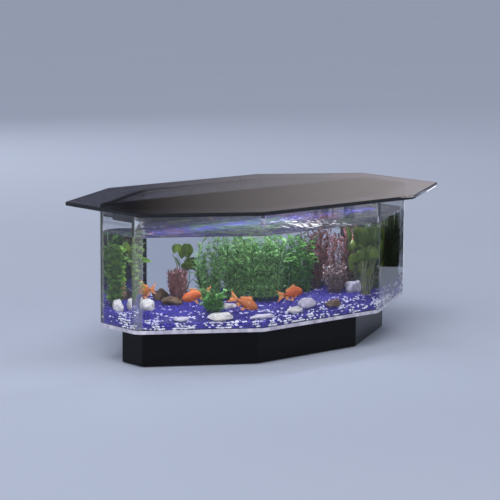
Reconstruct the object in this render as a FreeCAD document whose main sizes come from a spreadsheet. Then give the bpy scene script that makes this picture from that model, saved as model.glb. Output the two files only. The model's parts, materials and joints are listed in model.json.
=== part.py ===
"""Coffee-table aquarium: a clear acrylic octagon tank between a black plinth and a glass table top.

Millimetres. The origin is on the floor under the middle of the plinth, X runs along the table,
Y to its rear and Z up. Every driving size is a cell of the sheet "Sizes", and the sub-parts
are bound to those cells, so changing a cell and recomputing changes the table.
"""
import FreeCAD, Part
import os
import re

import Sketcher
from FreeCAD import Placement, Rotation, Vector

SIZES = {
    # Glass table top: an elongated octagon that overhangs the tank all round.
    "top_length": 1108, "top_width": 656, "top_front": 556, "top_end": 310,
    "top_thickness": 10, "top_arris": 1.5,
    # Tank: outside of the acrylic walls, which are bent round the corners.
    "tank_length": 1000, "tank_width": 520, "tank_front": 430, "tank_end": 160,
    "rim_height": 420, "wall_thickness": 8, "floor_thickness": 10, "bend_radius": 32,
    "flange_width": 25, "flange_thickness": 8, "flange_corner": 12,
    "bumper_radius": 6, "bumper_height": 2, "bumper_run": 150,
    # Plinth: a black octagon box, open below, on rubber feet.
    "plinth_length": 900, "plinth_width": 408, "plinth_front": 366, "plinth_end": 86,
    "plinth_height": 100, "plinth_skin": 6, "ring_width": 40, "ring_thickness": 6,
    "foot_radius": 12, "foot_height": 3, "foot_front_run": 165, "foot_end_run": 28,
    "rib_place": 150,
    # Standpipe that carries the leads from the plinth to the hood.
    "pipe_place": 385, "service_line": 40, "pipe_radius": 16, "pipe_bore": 13, "pipe_top": 390,
    "bond_gap": 0.1,
    # Light hood: a trough under the glass, closed by a thin lid.
    "hood_length": 900, "hood_width": 156, "hood_bottom": 392, "hood_skin": 3,
    "lid_length": 984, "lid_thickness": 1.4, "dry_wall_place": 305,
    # Fluorescent lamp, its reflector and its splash guard.
    "lamp_line": 38, "lamp_level": 407, "lamp_length": 849, "lamp_radius": 8, "cap_length": 9,
    "lamp_pin_radius": 1.2, "lamp_pin_length": 6, "lamp_pin_pitch": 5,
    "holder_length": 20, "holder_width": 22, "holder_height": 20, "running_gap": 0.05,
    "reflector_length": 828, "reflector_foot": 32, "reflector_crown": 19, "reflector_skin": 1,
    "lens_length": 846, "lens_width": 58, "window_length": 836, "window_width": 46,
    # Filter sponge, return spout and terminal block in the hood's rear lane.
    "sponge_length": 280, "sponge_width": 66, "sponge_height": 18, "sponge_place": 80,
    "spout_place": -150, "spout_radius": 12, "spout_bore": 10, "spout_bottom": 361,
    "terminal_place": 425, "terminal_length": 30, "terminal_width": 20, "terminal_height": 14,
    # Water pump hung under the hood.
    "pump_place": 300, "pump_side": 46, "pump_top": 346, "motor_bottom": 300,
    "chamber_bottom": 282, "well_radius": 9, "well_top": 336, "chamber_bore": 18,
    "inlet_radius": 7, "magnet_radius": 8.5, "vane_span": 30, "vane_skin": 2,
    "shaft_radius": 1.5, "strainer_bottom": 242, "strainer_radius": 20, "strainer_skin": 2,
    "slot_width": 3, "riser_radius": 8, "riser_bore": 6, "riser_bend": 14, "riser_level": 292,
    "riser_top": 403, "hanger_side": 30, "hanger_skin": 3, "lead_radius": 2.5, "lead_place": 319,
    "dial_radius": 9, "dial_length": 8, "dial_stem_radius": 2.5, "dial_gap": 0.4,
    # Ballast, wiring loom, switch and cord grommet of the plinth.
    "ballast_start": 180, "ballast_length": 140, "ballast_width": 40, "ballast_height": 28,
    "ear_length": 12, "ear_thickness": 3, "screw_radius": 2, "screw_head": 4, "screw_length": 8,
    "loom_bend": 30, "loom_hood_bend": 18, "loom_level": 80, "loom_hood_level": 401,
    "switch_place": -110, "switch_level": 52, "switch_pivot": 200, "bezel_width": 21,
    "bezel_height": 31, "bezel_thickness": 2, "switch_width": 17, "switch_height": 27,
    "switch_back": 182, "rocker_width": 12.4, "rocker_half": 10.5, "rocker_dish": 4.5,
    "rocker_crest": 6, "rocker_toe": 6, "rocker_heel": 4, "rocker_slot_width": 13,
    "rocker_slot_height": 23.4, "rocker_slot_floor": 190, "rocker_pin_radius": 1.2,
    "grommet_place": 110, "grommet_level": 52, "grommet_radius": 8, "grommet_flange": 11,
    "grommet_bore": 4, "grommet_lip": 2,
    # Gravel bed, which the stones and plants stand on.
    "gravel_top": 148, "gravel_gap": 0.3,
    # Plants: height, radius at the root and radius of the crown.
    "broad_leaf_height": 192, "broad_leaf_root": 20, "broad_leaf_crown": 34,
    "lily_height": 142, "lily_root": 14, "lily_crown": 34,
    "tall_lily_height": 192, "tall_lily_root": 16, "tall_lily_crown": 42,
    "coral_height": 96, "coral_root": 18, "coral_crown": 25,
    "clump_height": 66, "clump_root": 20, "clump_crown": 32,
    "fern_height": 190, "fern_root": 18, "fern_crown": 30,
    "bush_height": 178, "bush_root": 22, "bush_crown": 34,
    "red_stem_height": 196, "red_stem_root": 16, "red_stem_crown": 28,
    "beige_height": 92, "beige_root": 20, "beige_crown": 30,
    "end_weed_height": 198, "end_weed_root": 18, "end_weed_crown": 30,
    # Goldfish.
    "fish_length": 64, "fish_depth": 28, "fish_width": 18, "fish_tail": 26,
}

FLOOR_TOP = "(plinth_height + floor_thickness)"
TOP_LEVEL = "(rim_height + bumper_height)"
HOOD_FLOOR = "(hood_bottom + hood_skin)"
PLINTH_BACK = "(plinth_width / 2)"
SKIRT_LEVEL = "(foot_height + ring_thickness)"
DECK_LEVEL = "(plinth_height - plinth_skin)"
REAR_WALL = 3

ALONG = {
    "x": Rotation(Vector(0, 1, 0), 90),
    "y": Rotation(Vector(1, 0, 0), -90),
    "z": Rotation(),
}

doc = FreeCAD.newDocument("AquariumTable")
sheet = doc.addObject("Spreadsheet::Sheet", "Sizes")
for row, (alias, size) in enumerate(SIZES.items(), start=1):
    sheet.set(f"A{row}", alias)
    sheet.set(f"B{row}", str(size))
    sheet.setAlias(f"B{row}", alias)
doc.recompute()

pieces = []


# ---------------------------------------------------------------- helpers

def cells(formula):
    """Turn the size names in a formula into the sheet's cells."""
    return re.sub(r"[a-z_]+", lambda word: "Sizes." + word[0] if word[0] in SIZES else word[0],
                  str(formula))


def number(formula):
    """The present value of a formula."""
    return float(sheet.evalExpression(cells(formula)))


def bind(item, **formulas):
    """Tie an object's properties to formulas of the sheet's sizes."""
    for name, formula in formulas.items():
        item.setExpression(name, cells(formula))
    return item


def place(item, at, turn=None):
    """Tie an object's position to three formulas, with a fixed turn."""
    if turn is not None:
        item.Placement = Placement(Vector(), turn)
    for axis, formula in zip("xyz", at):
        item.setExpression(f"Placement.Base.{axis}", cells(formula))
    return item


def keep(item, node):
    """Label a finished sub-part with its node's name and list it for export."""
    item.Label = node
    pieces.append(item)
    return item


def block(name, length, width, height, at):
    """A box centred in X and Y on a point, with its underside there."""
    item = doc.addObject("Part::Box", name)
    bind(item, Length=length, Width=width, Height=height)
    corner = (f"{at[0]} - ({length}) / 2", f"{at[1]} - ({width}) / 2", at[2])
    return place(item, corner)


def rod(name, radius, height, at, along="z"):
    """A cylinder from a point along one axis."""
    item = doc.addObject("Part::Cylinder", name)
    bind(item, Radius=radius, Height=height)
    return place(item, at, ALONG[along])


def union(name, parts):
    """One solid from several that meet."""
    item = doc.addObject("Part::MultiFuse", name)
    item.Shapes = parts
    return item


def carve(name, base, tools):
    """A solid with others cut from it."""
    item = doc.addObject("Part::Cut", name)
    item.Base = base
    item.Tool = tools[0] if len(tools) == 1 else union(name + "_tools", tools)
    return item


def group(name, parts):
    """Separate solids that share one node."""
    item = doc.addObject("Part::Compound", name)
    item.Links = parts
    return item


def plane_sketch(body, name, role="XY_Plane"):
    """A sketch on one of a body's own origin planes."""
    sketch = body.newObject("Sketcher::SketchObject", name)
    plane = next(item for item in body.Origin.OriginFeatures if item.Role == role)
    sketch.AttachmentSupport = (plane, "")
    sketch.MapMode = "FlatFace"
    return sketch


def pin_point(sketch, geometry, point, at):
    """Hold one sketch point at two formulas from the sketch's origin."""
    for kind, axis, formula in (("DistanceX", -2, at[0]), ("DistanceY", -1, at[1])):
        size = number(formula)
        if size == 0:
            sketch.addConstraint(Sketcher.Constraint("PointOnObject", geometry, point, axis))
            continue
        rule = sketch.addConstraint(Sketcher.Constraint(kind, -1, 1, geometry, point, size))
        sketch.setExpression(f"Constraints[{rule}]", cells(formula))


def draw_loop(sketch, corners):
    """Draw a closed loop of straight lines through corners given as pairs of formulas."""
    first = sketch.GeometryCount
    points = [Vector(number(across), number(up), 0) for across, up in corners]
    for start, end in zip(points, points[1:] + points[:1]):
        sketch.addGeometry(Part.LineSegment(start, end))
    for side in range(len(corners)):
        following = first + (side + 1) % len(corners)
        sketch.addConstraint(Sketcher.Constraint("Coincident", first + side, 2, following, 1))
        pin_point(sketch, first + side, 1, corners[side])


def draw_circle(sketch, centre, radius):
    """Draw a circle about a pair of formulas."""
    middle = Vector(number(centre[0]), number(centre[1]), 0)
    ring = sketch.addGeometry(Part.Circle(middle, Vector(0, 0, 1), number(radius)))
    pin_point(sketch, ring, 3, centre)
    rule = sketch.addConstraint(Sketcher.Constraint("Radius", ring, number(radius)))
    sketch.setExpression(f"Constraints[{rule}]", cells(radius))


def octagon(kind, inset="0"):
    """Corners of the top's, tank's or plinth's outline, set in by a distance all round."""
    slant = f"atan(({kind}_width - {kind}_end) / ({kind}_length - {kind}_front))"
    half_length = f"({kind}_length / 2 - ({inset}))"
    half_width = f"({kind}_width / 2 - ({inset}))"
    half_front = f"({kind}_front / 2 - ({inset}) * tan({slant} / 2))"
    half_end = f"({kind}_end / 2 - ({inset}) * tan((90 deg - {slant}) / 2))"
    right = [(half_front, "-" + half_width), (half_length, "-" + half_end),
             (half_length, half_end), (half_front, half_width)]
    left = [("-" + across, up) for across, up in reversed(right)]
    return right + left


def plate_body(name, loops, thickness, level, holes=()):
    """A flat plate inside its first loop, open inside any second one, with round holes."""
    body = doc.addObject("PartDesign::Body", name)
    sketch = plane_sketch(body, name + "_plan")
    for corners in loops:
        draw_loop(sketch, corners)
    for centre, radius in holes:
        draw_circle(sketch, centre, radius)
    pad = body.newObject("PartDesign::Pad", name + "_pad")
    pad.Profile = sketch
    bind(pad, Length=thickness)
    body.Tip = pad
    place(body, ("0", "0", level))
    doc.recompute()
    return body


def octagon_body(name, kind, thickness, level, inset="0", opening=None, holes=()):
    """An octagonal plate, or a ring where it has an opening."""
    loops = [octagon(kind, inset)]
    if opening is not None:
        loops.append(octagon(kind, opening))
    return plate_body(name, loops, thickness, level, holes)


def mitred_walls(name, kind, skin, height, level):
    """Eight upright panels inside an outline, mitred where they meet. REAR_WALL is at the rear."""
    outside, inside = octagon(kind), octagon(kind, skin)
    walls = []
    for side, (outer, inner) in enumerate(zip(outside, inside)):
        following = (side + 1) % len(outside)
        corners = [outer, outside[following], inside[following], inner]
        walls.append(plate_body(f"{name}_{side}", [corners], height, level))
    return walls


def upright_edges(shape, corners):
    """Names of a shape's upright edges that stand on the given corners."""
    names = []
    for index, edge in enumerate(shape.Edges, start=1):
        ends = [vertex.Point for vertex in edge.Vertexes]
        if len(ends) < 2 or (ends[0] - ends[1]).cross(Vector(0, 0, 1)).Length > 0.001:
            continue
        if any(Vector(ends[0].x - x, ends[0].y - y, 0).Length < 0.01 for x, y in corners):
            names.append(f"Edge{index}")
    return names


def round_corners(body, kind, inset, radius):
    """Round the eight upright edges of one outline of a plate or ring."""
    corners = [(number(across), number(up)) for across, up in octagon(kind, inset)]
    base = body.Tip
    fillet = body.newObject("PartDesign::Fillet", f"{body.Name}_bend{len(body.Group)}")
    fillet.Base = (base, upright_edges(base.Shape, corners))
    bind(fillet, Radius=radius)
    body.Tip = fillet
    doc.recompute()


def profile_body(name, corners, role, length, at, turn=None):
    """A straight-sided profile padded to both sides of a body's plane."""
    body = doc.addObject("PartDesign::Body", name)
    sketch = plane_sketch(body, name + "_profile", role)
    draw_loop(sketch, corners)
    pad = body.newObject("PartDesign::Pad", name + "_pad")
    pad.Profile = sketch
    pad.Midplane = True
    bind(pad, Length=length)
    body.Tip = pad
    place(body, at, turn)
    doc.recompute()
    return body


def bend(name, centre, bend_radius, radius, start):
    """A quarter turn of round bar in an XZ plane, from a start angle, about a centre."""
    item = doc.addObject("Part::Torus", name)
    bind(item, Radius1=bend_radius, Radius2=radius)
    item.Angle3 = 90
    upright = Rotation(Vector(1, 0, 0), 90)
    return place(item, centre, upright.multiply(Rotation(Vector(0, 0, 1), start)))


# ---------------------------------------------------------------- plinth

def make_feet():
    """Rubber discs under the base ring, two near each of its four long corners."""
    inner = "(plinth_width - ring_width) / 2"
    outer = "(plinth_length - ring_width) / 2"
    feet = []
    for across in "+-":
        for back in "+-":
            front_foot = (f"{across}foot_front_run", f"{back}({inner})", "0")
            end_foot = (f"{across}({outer})", f"{back}foot_end_run", "0")
            for spot in (front_foot, end_foot):
                feet.append(rod("foot", "foot_radius", "foot_height", spot))
    keep(group("feet", feet), "foot_pads")


def make_plinth_shell():
    """Base ring, eight-walled skirt and deck, glued edge to edge."""
    ring = octagon_body("base_ring", "plinth", "ring_thickness", "foot_height",
                        opening="ring_width")
    keep(ring, "plinth_base_ring")
    height = f"{DECK_LEVEL} - {SKIRT_LEVEL}"
    walls = mitred_walls("skirt", "plinth", "plinth_skin", height, SKIRT_LEVEL)
    depth = "plinth_skin * 3"
    start = f"{PLINTH_BACK} - plinth_skin * 2"
    cord_hole = rod("cord_hole", "grommet_radius", depth,
                    ("grommet_place", start, "grommet_level"), "y")
    switch_hole = block("switch_hole", "switch_width", depth, "switch_height",
                        ("switch_place", PLINTH_BACK, "switch_level - switch_height / 2"))
    walls[REAR_WALL] = carve("skirt_rear", walls[REAR_WALL], [cord_hole, switch_hole])
    keep(group("skirt", walls), "plinth_skirt")
    screws = [((place_x, "service_line"), "screw_radius") for place_x in ear_places()]
    pipe_hole = (("pipe_place", "service_line"), "pipe_radius + bond_gap")
    deck = octagon_body("deck", "plinth", "plinth_skin", DECK_LEVEL, holes=screws + [pipe_hole])
    keep(deck, "plinth_deck")


def make_plinth_frame():
    """A spine along the plinth and four half ribs that carry the deck."""
    height = f"{DECK_LEVEL} - {SKIRT_LEVEL}"
    length = "plinth_length - 2 * plinth_skin"
    spine = block("spine", length, "plinth_skin", height, ("0", "0", SKIRT_LEVEL))
    keep(spine, "plinth_spine")
    depth = "plinth_width / 2 - plinth_skin * 1.5"
    middle = "(plinth_width / 2 - plinth_skin / 2) / 2"
    ribs = [block("rib", "plinth_skin", depth, height,
                  (f"{across}rib_place", f"{back}{middle}", SKIRT_LEVEL))
            for across in "+-" for back in "+-"]
    keep(group("ribs", ribs), "plinth_ribs")


def ear_places():
    """Where the ballast's two fixing screws stand, along the table."""
    return ("ballast_start + ear_length / 2", "ballast_start + ballast_length - ear_length / 2")


def make_ballast():
    """The lamp's ballast, hung from the deck by an ear at each end."""
    body_length = "ballast_length - 2 * ear_length"
    middle = "ballast_start + ballast_length / 2"
    case = block("ballast_case", body_length, "ballast_width", "ballast_height",
                 (middle, "service_line", f"{DECK_LEVEL} - ballast_height"))
    ears = block("ballast_ears", "ballast_length", "ballast_width", "ear_thickness",
                 (middle, "service_line", f"{DECK_LEVEL} - ear_thickness"))
    low = f"{DECK_LEVEL} - ear_thickness"
    holes = [rod("ear_hole", "screw_radius", "ear_thickness", (spot, "service_line", low))
             for spot in ear_places()]
    keep(carve("ballast_cut", union("ballast_body", [case, ears]), holes), "ballast")
    screws = []
    for spot in ear_places():
        shank = rod("shank", "screw_radius", "screw_length", (spot, "service_line", low))
        head = rod("head", "screw_head", "screw_radius",
                   (spot, "service_line", f"{low} - screw_radius"))
        screws.append(union("ballast_screw", [shank, head]))
    keep(group("screws", screws), "ballast_screws")


def make_switch():
    """Rocker switch in the plinth's rear wall: housing, hinge pin and rocker."""
    middle = "(switch_back + plinth_width / 2) / 2"
    depth = f"{PLINTH_BACK} - switch_back"
    low = "switch_level - switch_height / 2"
    case = block("switch_case", "switch_width", depth, "switch_height",
                 ("switch_place", middle, low))
    bezel = block("switch_bezel", "bezel_width", "bezel_thickness", "bezel_height",
                  ("switch_place", f"{PLINTH_BACK} + bezel_thickness / 2",
                   "switch_level - bezel_height / 2"))
    slot_depth = f"{PLINTH_BACK} + bezel_thickness - rocker_slot_floor"
    slot = block("rocker_slot", "rocker_slot_width", slot_depth, "rocker_slot_height",
                 ("switch_place", f"rocker_slot_floor + ({slot_depth}) / 2",
                  "switch_level - rocker_slot_height / 2"))
    start = ("switch_place - switch_width / 2", "switch_pivot", "switch_level")
    pin_hole = rod("pin_hole", "rocker_pin_radius", "switch_width", start, "x")
    keep(carve("switch_body", union("switch_block", [case, bezel]), [slot, pin_hole]),
         "switch_housing")
    keep(rod("hinge_pin", "rocker_pin_radius", "switch_width", start, "x"), "switch_pin")
    corners = [("rocker_crest", "-rocker_half"), ("rocker_dish", "0"),
               ("rocker_crest", "rocker_half"), ("0", "rocker_half"),
               ("-rocker_heel", "rocker_toe"), ("-rocker_heel", "-rocker_toe"),
               ("0", "-rocker_half")]
    blank = profile_body("rocker_blank", corners, "YZ_Plane", "rocker_width", start_of_rocker(),
                         Rotation(Vector(1, 0, 0), 8))
    bore = rod("rocker_bore", "rocker_pin_radius + running_gap", "switch_width", start, "x")
    keep(carve("rocker_cut", blank, [bore]), "rocker")


def start_of_rocker():
    """The rocker's pivot point."""
    return ("switch_place", "switch_pivot", "switch_level")


def make_grommet():
    """Rubber grommet that lines the supply cord's hole in the plinth."""
    back = f"{PLINTH_BACK} - plinth_skin"
    inner = rod("inner_lip", "grommet_flange", "grommet_lip",
                ("grommet_place", f"{back} - grommet_lip", "grommet_level"), "y")
    neck = rod("neck", "grommet_radius", "plinth_skin",
               ("grommet_place", back, "grommet_level"), "y")
    outer = rod("outer_lip", "grommet_flange", "grommet_lip",
                ("grommet_place", PLINTH_BACK, "grommet_level"), "y")
    bore = rod("cord_bore", "grommet_bore", "plinth_skin + 2 * grommet_lip",
               ("grommet_place", f"{back} - grommet_lip", "grommet_level"), "y")
    keep(carve("grommet_cut", union("grommet_body", [inner, neck, outer]), [bore]),
         "cord_grommet")


# ---------------------------------------------------------------- tank

def make_tank():
    """Floor plate, bent walls and the flange that stiffens the rim."""
    pipe_hole = (("pipe_place", "service_line"), "pipe_radius + bond_gap")
    floor = octagon_body("floor", "tank", "floor_thickness", "plinth_height", holes=[pipe_hole])
    round_corners(floor, "tank", "0", "bend_radius")
    keep(floor, "tank_floor")
    flange_level = "rim_height - flange_thickness"
    wall = octagon_body("wall", "tank", f"{flange_level} - {FLOOR_TOP}", FLOOR_TOP,
                        opening="wall_thickness")
    round_corners(wall, "tank", "0", "bend_radius")
    round_corners(wall, "tank", "wall_thickness", "bend_radius - wall_thickness")
    keep(wall, "tank_wall")
    flange = octagon_body("flange", "tank", "flange_thickness", flange_level,
                          opening="flange_width")
    round_corners(flange, "tank", "0", "bend_radius")
    round_corners(flange, "tank", "flange_width", "flange_corner")
    keep(flange, "rim_flange")


def make_bumpers():
    """Clear cushions on the rim that the glass rests on: front, back and slanted sides."""
    side_y = "(tank_width / 2 - flange_width / 2)"
    slant = "atan((tank_width - tank_end) / (tank_length - tank_front))"
    slant_x = f"((tank_length + tank_front) / 4 - flange_width / 2 * sin({slant}))"
    slant_y = f"((tank_width + tank_end) / 4 - flange_width / 2 * cos({slant}))"
    bumpers = []
    for across in "+-":
        for back in "+-":
            for spot in ((f"{across}bumper_run", f"{back}{side_y}", "rim_height"),
                         (f"{across}{slant_x}", f"{back}{slant_y}", "rim_height")):
                bumpers.append(rod("bumper", "bumper_radius", "bumper_height", spot))
    keep(group("bumpers", bumpers), "bumper_pads")


def make_standpipe():
    """Pipe bonded through the deck and the tank's floor, open above the water."""
    start = ("pipe_place", "service_line", DECK_LEVEL)
    height = f"pipe_top - {DECK_LEVEL}"
    outside = rod("pipe_outside", "pipe_radius", height, start)
    inside = rod("pipe_inside", "pipe_bore", height, start)
    keep(carve("pipe", outside, [inside]), "cable_standpipe")


def make_glass_top():
    """Loose table top with a ground arris on every edge."""
    top = octagon_body("glass", "top", "top_thickness", TOP_LEVEL)
    pad = top.Tip
    arris = top.newObject("PartDesign::Chamfer", "glass_arris")
    arris.Base = (pad, [f"Edge{index + 1}" for index in range(len(pad.Shape.Edges))])
    bind(arris, Size="top_arris")
    top.Tip = arris
    doc.recompute()
    keep(top, "glass_top")


# ---------------------------------------------------------------- light hood

def make_hood():
    """Trough with a lamp lane, a filter lane and a dry bay, and the lid over it."""
    height = "rim_height - hood_bottom"
    shell = block("hood_shell", "hood_length", "hood_width", height, ("0", "0", "hood_bottom"))
    lane = "(hood_width - 3 * hood_skin) / 2"
    lane_line = "(hood_width - hood_skin) / 4"
    inner_length = "hood_length - 2 * hood_skin"
    wet_end = "dry_wall_place"
    wet_length = f"{wet_end} + hood_length / 2 - hood_skin"
    dry_start = "(dry_wall_place + hood_skin)"
    dry_length = f"hood_length / 2 - hood_skin - {dry_start}"
    lamp_lane = block("lamp_lane", inner_length, lane, height,
                      ("0", f"-{lane_line}", HOOD_FLOOR))
    wet_lane = block("wet_lane", wet_length, lane, height,
                     (f"{wet_end} - ({wet_length}) / 2", lane_line, HOOD_FLOOR))
    dry_bay = block("dry_bay", dry_length, lane, height,
                    (f"{dry_start} + ({dry_length}) / 2", lane_line, HOOD_FLOOR))
    window = block("window", "window_length", "window_width", height,
                   ("0", "-lamp_line", "hood_bottom - hood_skin"))
    under = "hood_bottom - hood_skin"
    depth = "3 * hood_skin"
    holes = [rod("hood_hole", radius, depth, (spot, "service_line", under))
             for spot, radius in (("spout_place", "spout_radius"),
                                  ("pump_place - pump_side", "riser_radius"),
                                  ("lead_place", "lead_radius"),
                                  ("pipe_place", "pipe_bore"))]
    keep(carve("hood", shell, [lamp_lane, wet_lane, dry_bay, window] + holes), "hood_housing")
    lid = block("lid", "lid_length", "hood_width", "lid_thickness", ("0", "0", "rim_height"))
    keep(lid, "hood_lid")


def make_lamp():
    """Fluorescent tube, its caps and holders, the folded reflector and the splash guard."""
    lens = block("lens", "lens_length", "lens_width", "hood_skin",
                 ("0", "-lamp_line", HOOD_FLOOR))
    keep(lens, "lamp_lens")
    crown = "rim_height - reflector_skin"
    inner_foot = "reflector_foot - reflector_skin"
    inner_crown = "reflector_crown - reflector_skin / 2"
    corners = [("-reflector_foot", HOOD_FLOOR), (f"-({inner_foot})", HOOD_FLOOR),
               (f"-({inner_crown})", f"{crown} - reflector_skin"),
               (inner_crown, f"{crown} - reflector_skin"), (inner_foot, HOOD_FLOOR),
               ("reflector_foot", HOOD_FLOOR), ("reflector_crown", crown),
               ("-reflector_crown", crown)]
    keep(profile_body("reflector_sheet", corners, "YZ_Plane", "reflector_length",
                      ("0", "-lamp_line", "0")), "reflector")
    glass_length = "lamp_length - 2 * cap_length"
    glass = rod("lamp_glass", "lamp_radius", glass_length,
                (f"-({glass_length}) / 2", "-lamp_line", "lamp_level"), "x")
    keep(glass, "lamp_tube")
    caps, holders = [], []
    for side in "-+":
        middle = f"{side}(lamp_length / 2 - cap_length / 2)"
        cap = rod("cap", "lamp_radius", "cap_length",
                  (f"{middle} - cap_length / 2", "-lamp_line", "lamp_level"), "x")
        pin_middle = f"{side}(lamp_length / 2 + lamp_pin_length / 2)"
        pins, sockets = [], []
        for up in "+-":
            level = f"lamp_level {up} lamp_pin_pitch / 2"
            spot = (f"{pin_middle} - lamp_pin_length / 2", "-lamp_line", level)
            pins.append(rod("lamp_pin", "lamp_pin_radius", "lamp_pin_length", spot, "x"))
            spot = (f"{pin_middle} - lamp_pin_length", "-lamp_line", level)
            sockets.append(rod("socket", "lamp_pin_radius + running_gap", "2 * lamp_pin_length",
                               spot, "x"))
        caps.append(union("lamp_cap", [cap] + pins))
        holder_middle = f"{side}(lamp_length / 2 + running_gap + holder_length / 2)"
        base = block("holder_block", "holder_length", "holder_width", "holder_height",
                     (holder_middle, "-lamp_line", HOOD_FLOOR))
        holders.append(carve("holder", base, sockets))
    keep(group("caps", caps), "lamp_caps")
    keep(group("holders", holders), "lampholders")


def make_filter():
    """Sponge in the hood's wet lane and the spout that returns the water."""
    lane_line = "(hood_width - hood_skin) / 4"
    sponge = block("sponge", "sponge_length", "sponge_width", "sponge_height",
                   ("sponge_place", lane_line, HOOD_FLOOR))
    keep(sponge, "filter_sponge")
    tube = rod("spout_tube", "spout_radius", f"{HOOD_FLOOR} + 1 - spout_bottom",
               ("spout_place", "service_line", "spout_bottom"))
    lip = rod("spout_lip", "spout_radius + hood_skin", "1",
              ("spout_place", "service_line", HOOD_FLOOR))
    bore = rod("spout_hole", "spout_bore", f"{HOOD_FLOOR} + 1 - spout_bottom",
               ("spout_place", "service_line", "spout_bottom"))
    keep(carve("spout", union("spout_body", [tube, lip]), [bore]), "return_spout")


def make_wiring():
    """Terminal block, and the loom from the ballast up the standpipe to it."""
    terminal = block("terminal", "terminal_length", "terminal_width", "terminal_height",
                     ("terminal_place", "service_line", HOOD_FLOOR))
    keep(terminal, "terminal_block")
    start = "(ballast_start + ballast_length - ear_length)"
    low = ("pipe_place - loom_bend", "service_line", "loom_level + loom_bend")
    high = ("pipe_place + loom_hood_bend", "service_line", "loom_hood_level - loom_hood_bend")
    lengths = [
        rod("loom_start", "lead_radius", f"pipe_place - loom_bend - {start}",
            (start, "service_line", "loom_level"), "x"),
        bend("loom_low_bend", low, "loom_bend", "lead_radius", -90),
        rod("loom_riser", "lead_radius",
            "loom_hood_level - loom_hood_bend - loom_level - loom_bend",
            ("pipe_place", "service_line", "loom_level + loom_bend")),
        bend("loom_high_bend", high, "loom_hood_bend", "lead_radius", 90),
        rod("loom_end", "lead_radius",
            "terminal_place - terminal_length / 2 - pipe_place - loom_hood_bend",
            ("pipe_place + loom_hood_bend", "service_line", "loom_hood_level"), "x"),
    ]
    keep(union("loom", lengths), "wiring_loom")


# ---------------------------------------------------------------- pump

def make_pump():
    """Motor, impeller chamber, strainer, shaft and impeller, one above the other."""
    centre = ("pump_place", "service_line")
    motor = block("motor", "pump_side", "pump_side", "pump_top - motor_bottom",
                  centre + ("motor_bottom",))
    well = rod("well", "well_radius", "well_top - motor_bottom", centre + ("motor_bottom",))
    seat = rod("shaft_seat", "shaft_radius", "pump_side / 2 - well_radius * 2",
               centre + ("well_top",))
    keep(carve("motor_cut", motor, [well, seat]), "pump_motor")
    chamber = block("chamber", "pump_side", "pump_side", "motor_bottom - chamber_bottom",
                    centre + ("chamber_bottom",))
    bowl = rod("bowl", "chamber_bore", "motor_bottom - chamber_bottom - hood_skin",
               centre + ("chamber_bottom + hood_skin",))
    inlet = rod("inlet", "inlet_radius", "hood_skin * 2", centre + ("chamber_bottom",))
    outlet = rod("outlet", "riser_bore", "pump_side / 2",
                 ("pump_place - pump_side / 2", "service_line", "riser_level"), "x")
    stem_hole = rod("stem_hole", "dial_stem_radius + running_gap", "pump_side / 2",
                    ("pump_place", "service_line", "riser_level"), "x")
    keep(carve("chamber_cut", chamber, [bowl, inlet, outlet, stem_hole]), "pump_chamber")
    shaft_bottom = "(chamber_bottom + hood_skin)"
    shaft_top = "(well_top + pump_side / 2 - well_radius * 2)"
    keep(rod("shaft", "shaft_radius", f"{shaft_top} - {shaft_bottom}",
             centre + (shaft_bottom,)), "impeller_shaft")
    magnet = rod("magnet", "magnet_radius", "well_top - motor_bottom - 2 * dial_gap - 2",
                 centre + ("motor_bottom + 2",))
    hub = rod("hub", "magnet_radius / 2", "motor_bottom + 3 - chamber_bottom - 2 * hood_skin",
              centre + ("chamber_bottom + 2 * hood_skin",))
    vane_height = "motor_bottom - chamber_bottom - 2 * hood_skin - 1"
    vanes = [block("vane", length, width, vane_height,
                   centre + ("chamber_bottom + 2 * hood_skin",))
             for length, width in (("vane_span", "vane_skin"), ("vane_skin", "vane_span"))]
    bore = rod("impeller_bore", "shaft_radius + running_gap", "well_top - chamber_bottom",
               centre + ("chamber_bottom",))
    keep(carve("impeller_cut", union("impeller_body", [magnet, hub] + vanes), [bore]),
         "impeller")


def make_strainer():
    """Slotted basket under the pump's inlet."""
    centre = ("pump_place", "service_line")
    height = "chamber_bottom - strainer_bottom"
    cup = rod("cup", "strainer_radius", height, centre + ("strainer_bottom",))
    hollow = rod("hollow", "strainer_radius - strainer_skin", height,
                 centre + ("strainer_bottom + strainer_skin",))
    slots = []
    for angle in range(0, 180, 30):
        slot = doc.addObject("Part::Box", "slot")
        bind(slot, Length="2 * strainer_radius + 2", Width="slot_width",
             Height=f"{height} - 4 * strainer_skin")
        turn = Rotation(Vector(0, 0, 1), angle)
        corner = turn.multVec(Vector(-number("strainer_radius + 1"),
                                     -number("slot_width / 2"), 0))
        place(slot, (f"pump_place + ({corner.x})", f"service_line + ({corner.y})",
                     "strainer_bottom + 2 * strainer_skin"), turn)
        slots.append(slot)
    keep(carve("strainer", cup, [hollow] + slots), "intake_strainer")


def make_riser():
    """Bent tube that lifts the water from the pump into the hood."""
    def run(name, radius):
        level = "riser_level"
        across = "pump_place - pump_side"
        return union(name, [
            rod(name + "_stub", radius, "pump_side / 2 - riser_bend",
                (f"{across} + riser_bend", "service_line", level), "x"),
            bend(name + "_bend", (f"{across} + riser_bend", "service_line",
                                  f"{level} + riser_bend"), "riser_bend", radius, 180),
            rod(name + "_lift", radius, f"riser_top - {level} - riser_bend",
                (across, "service_line", f"{level} + riser_bend")),
        ])
    keep(carve("riser", run("riser_outside", "riser_radius"), [run("riser_inside", "riser_bore")]),
         "riser_tube")


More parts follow.
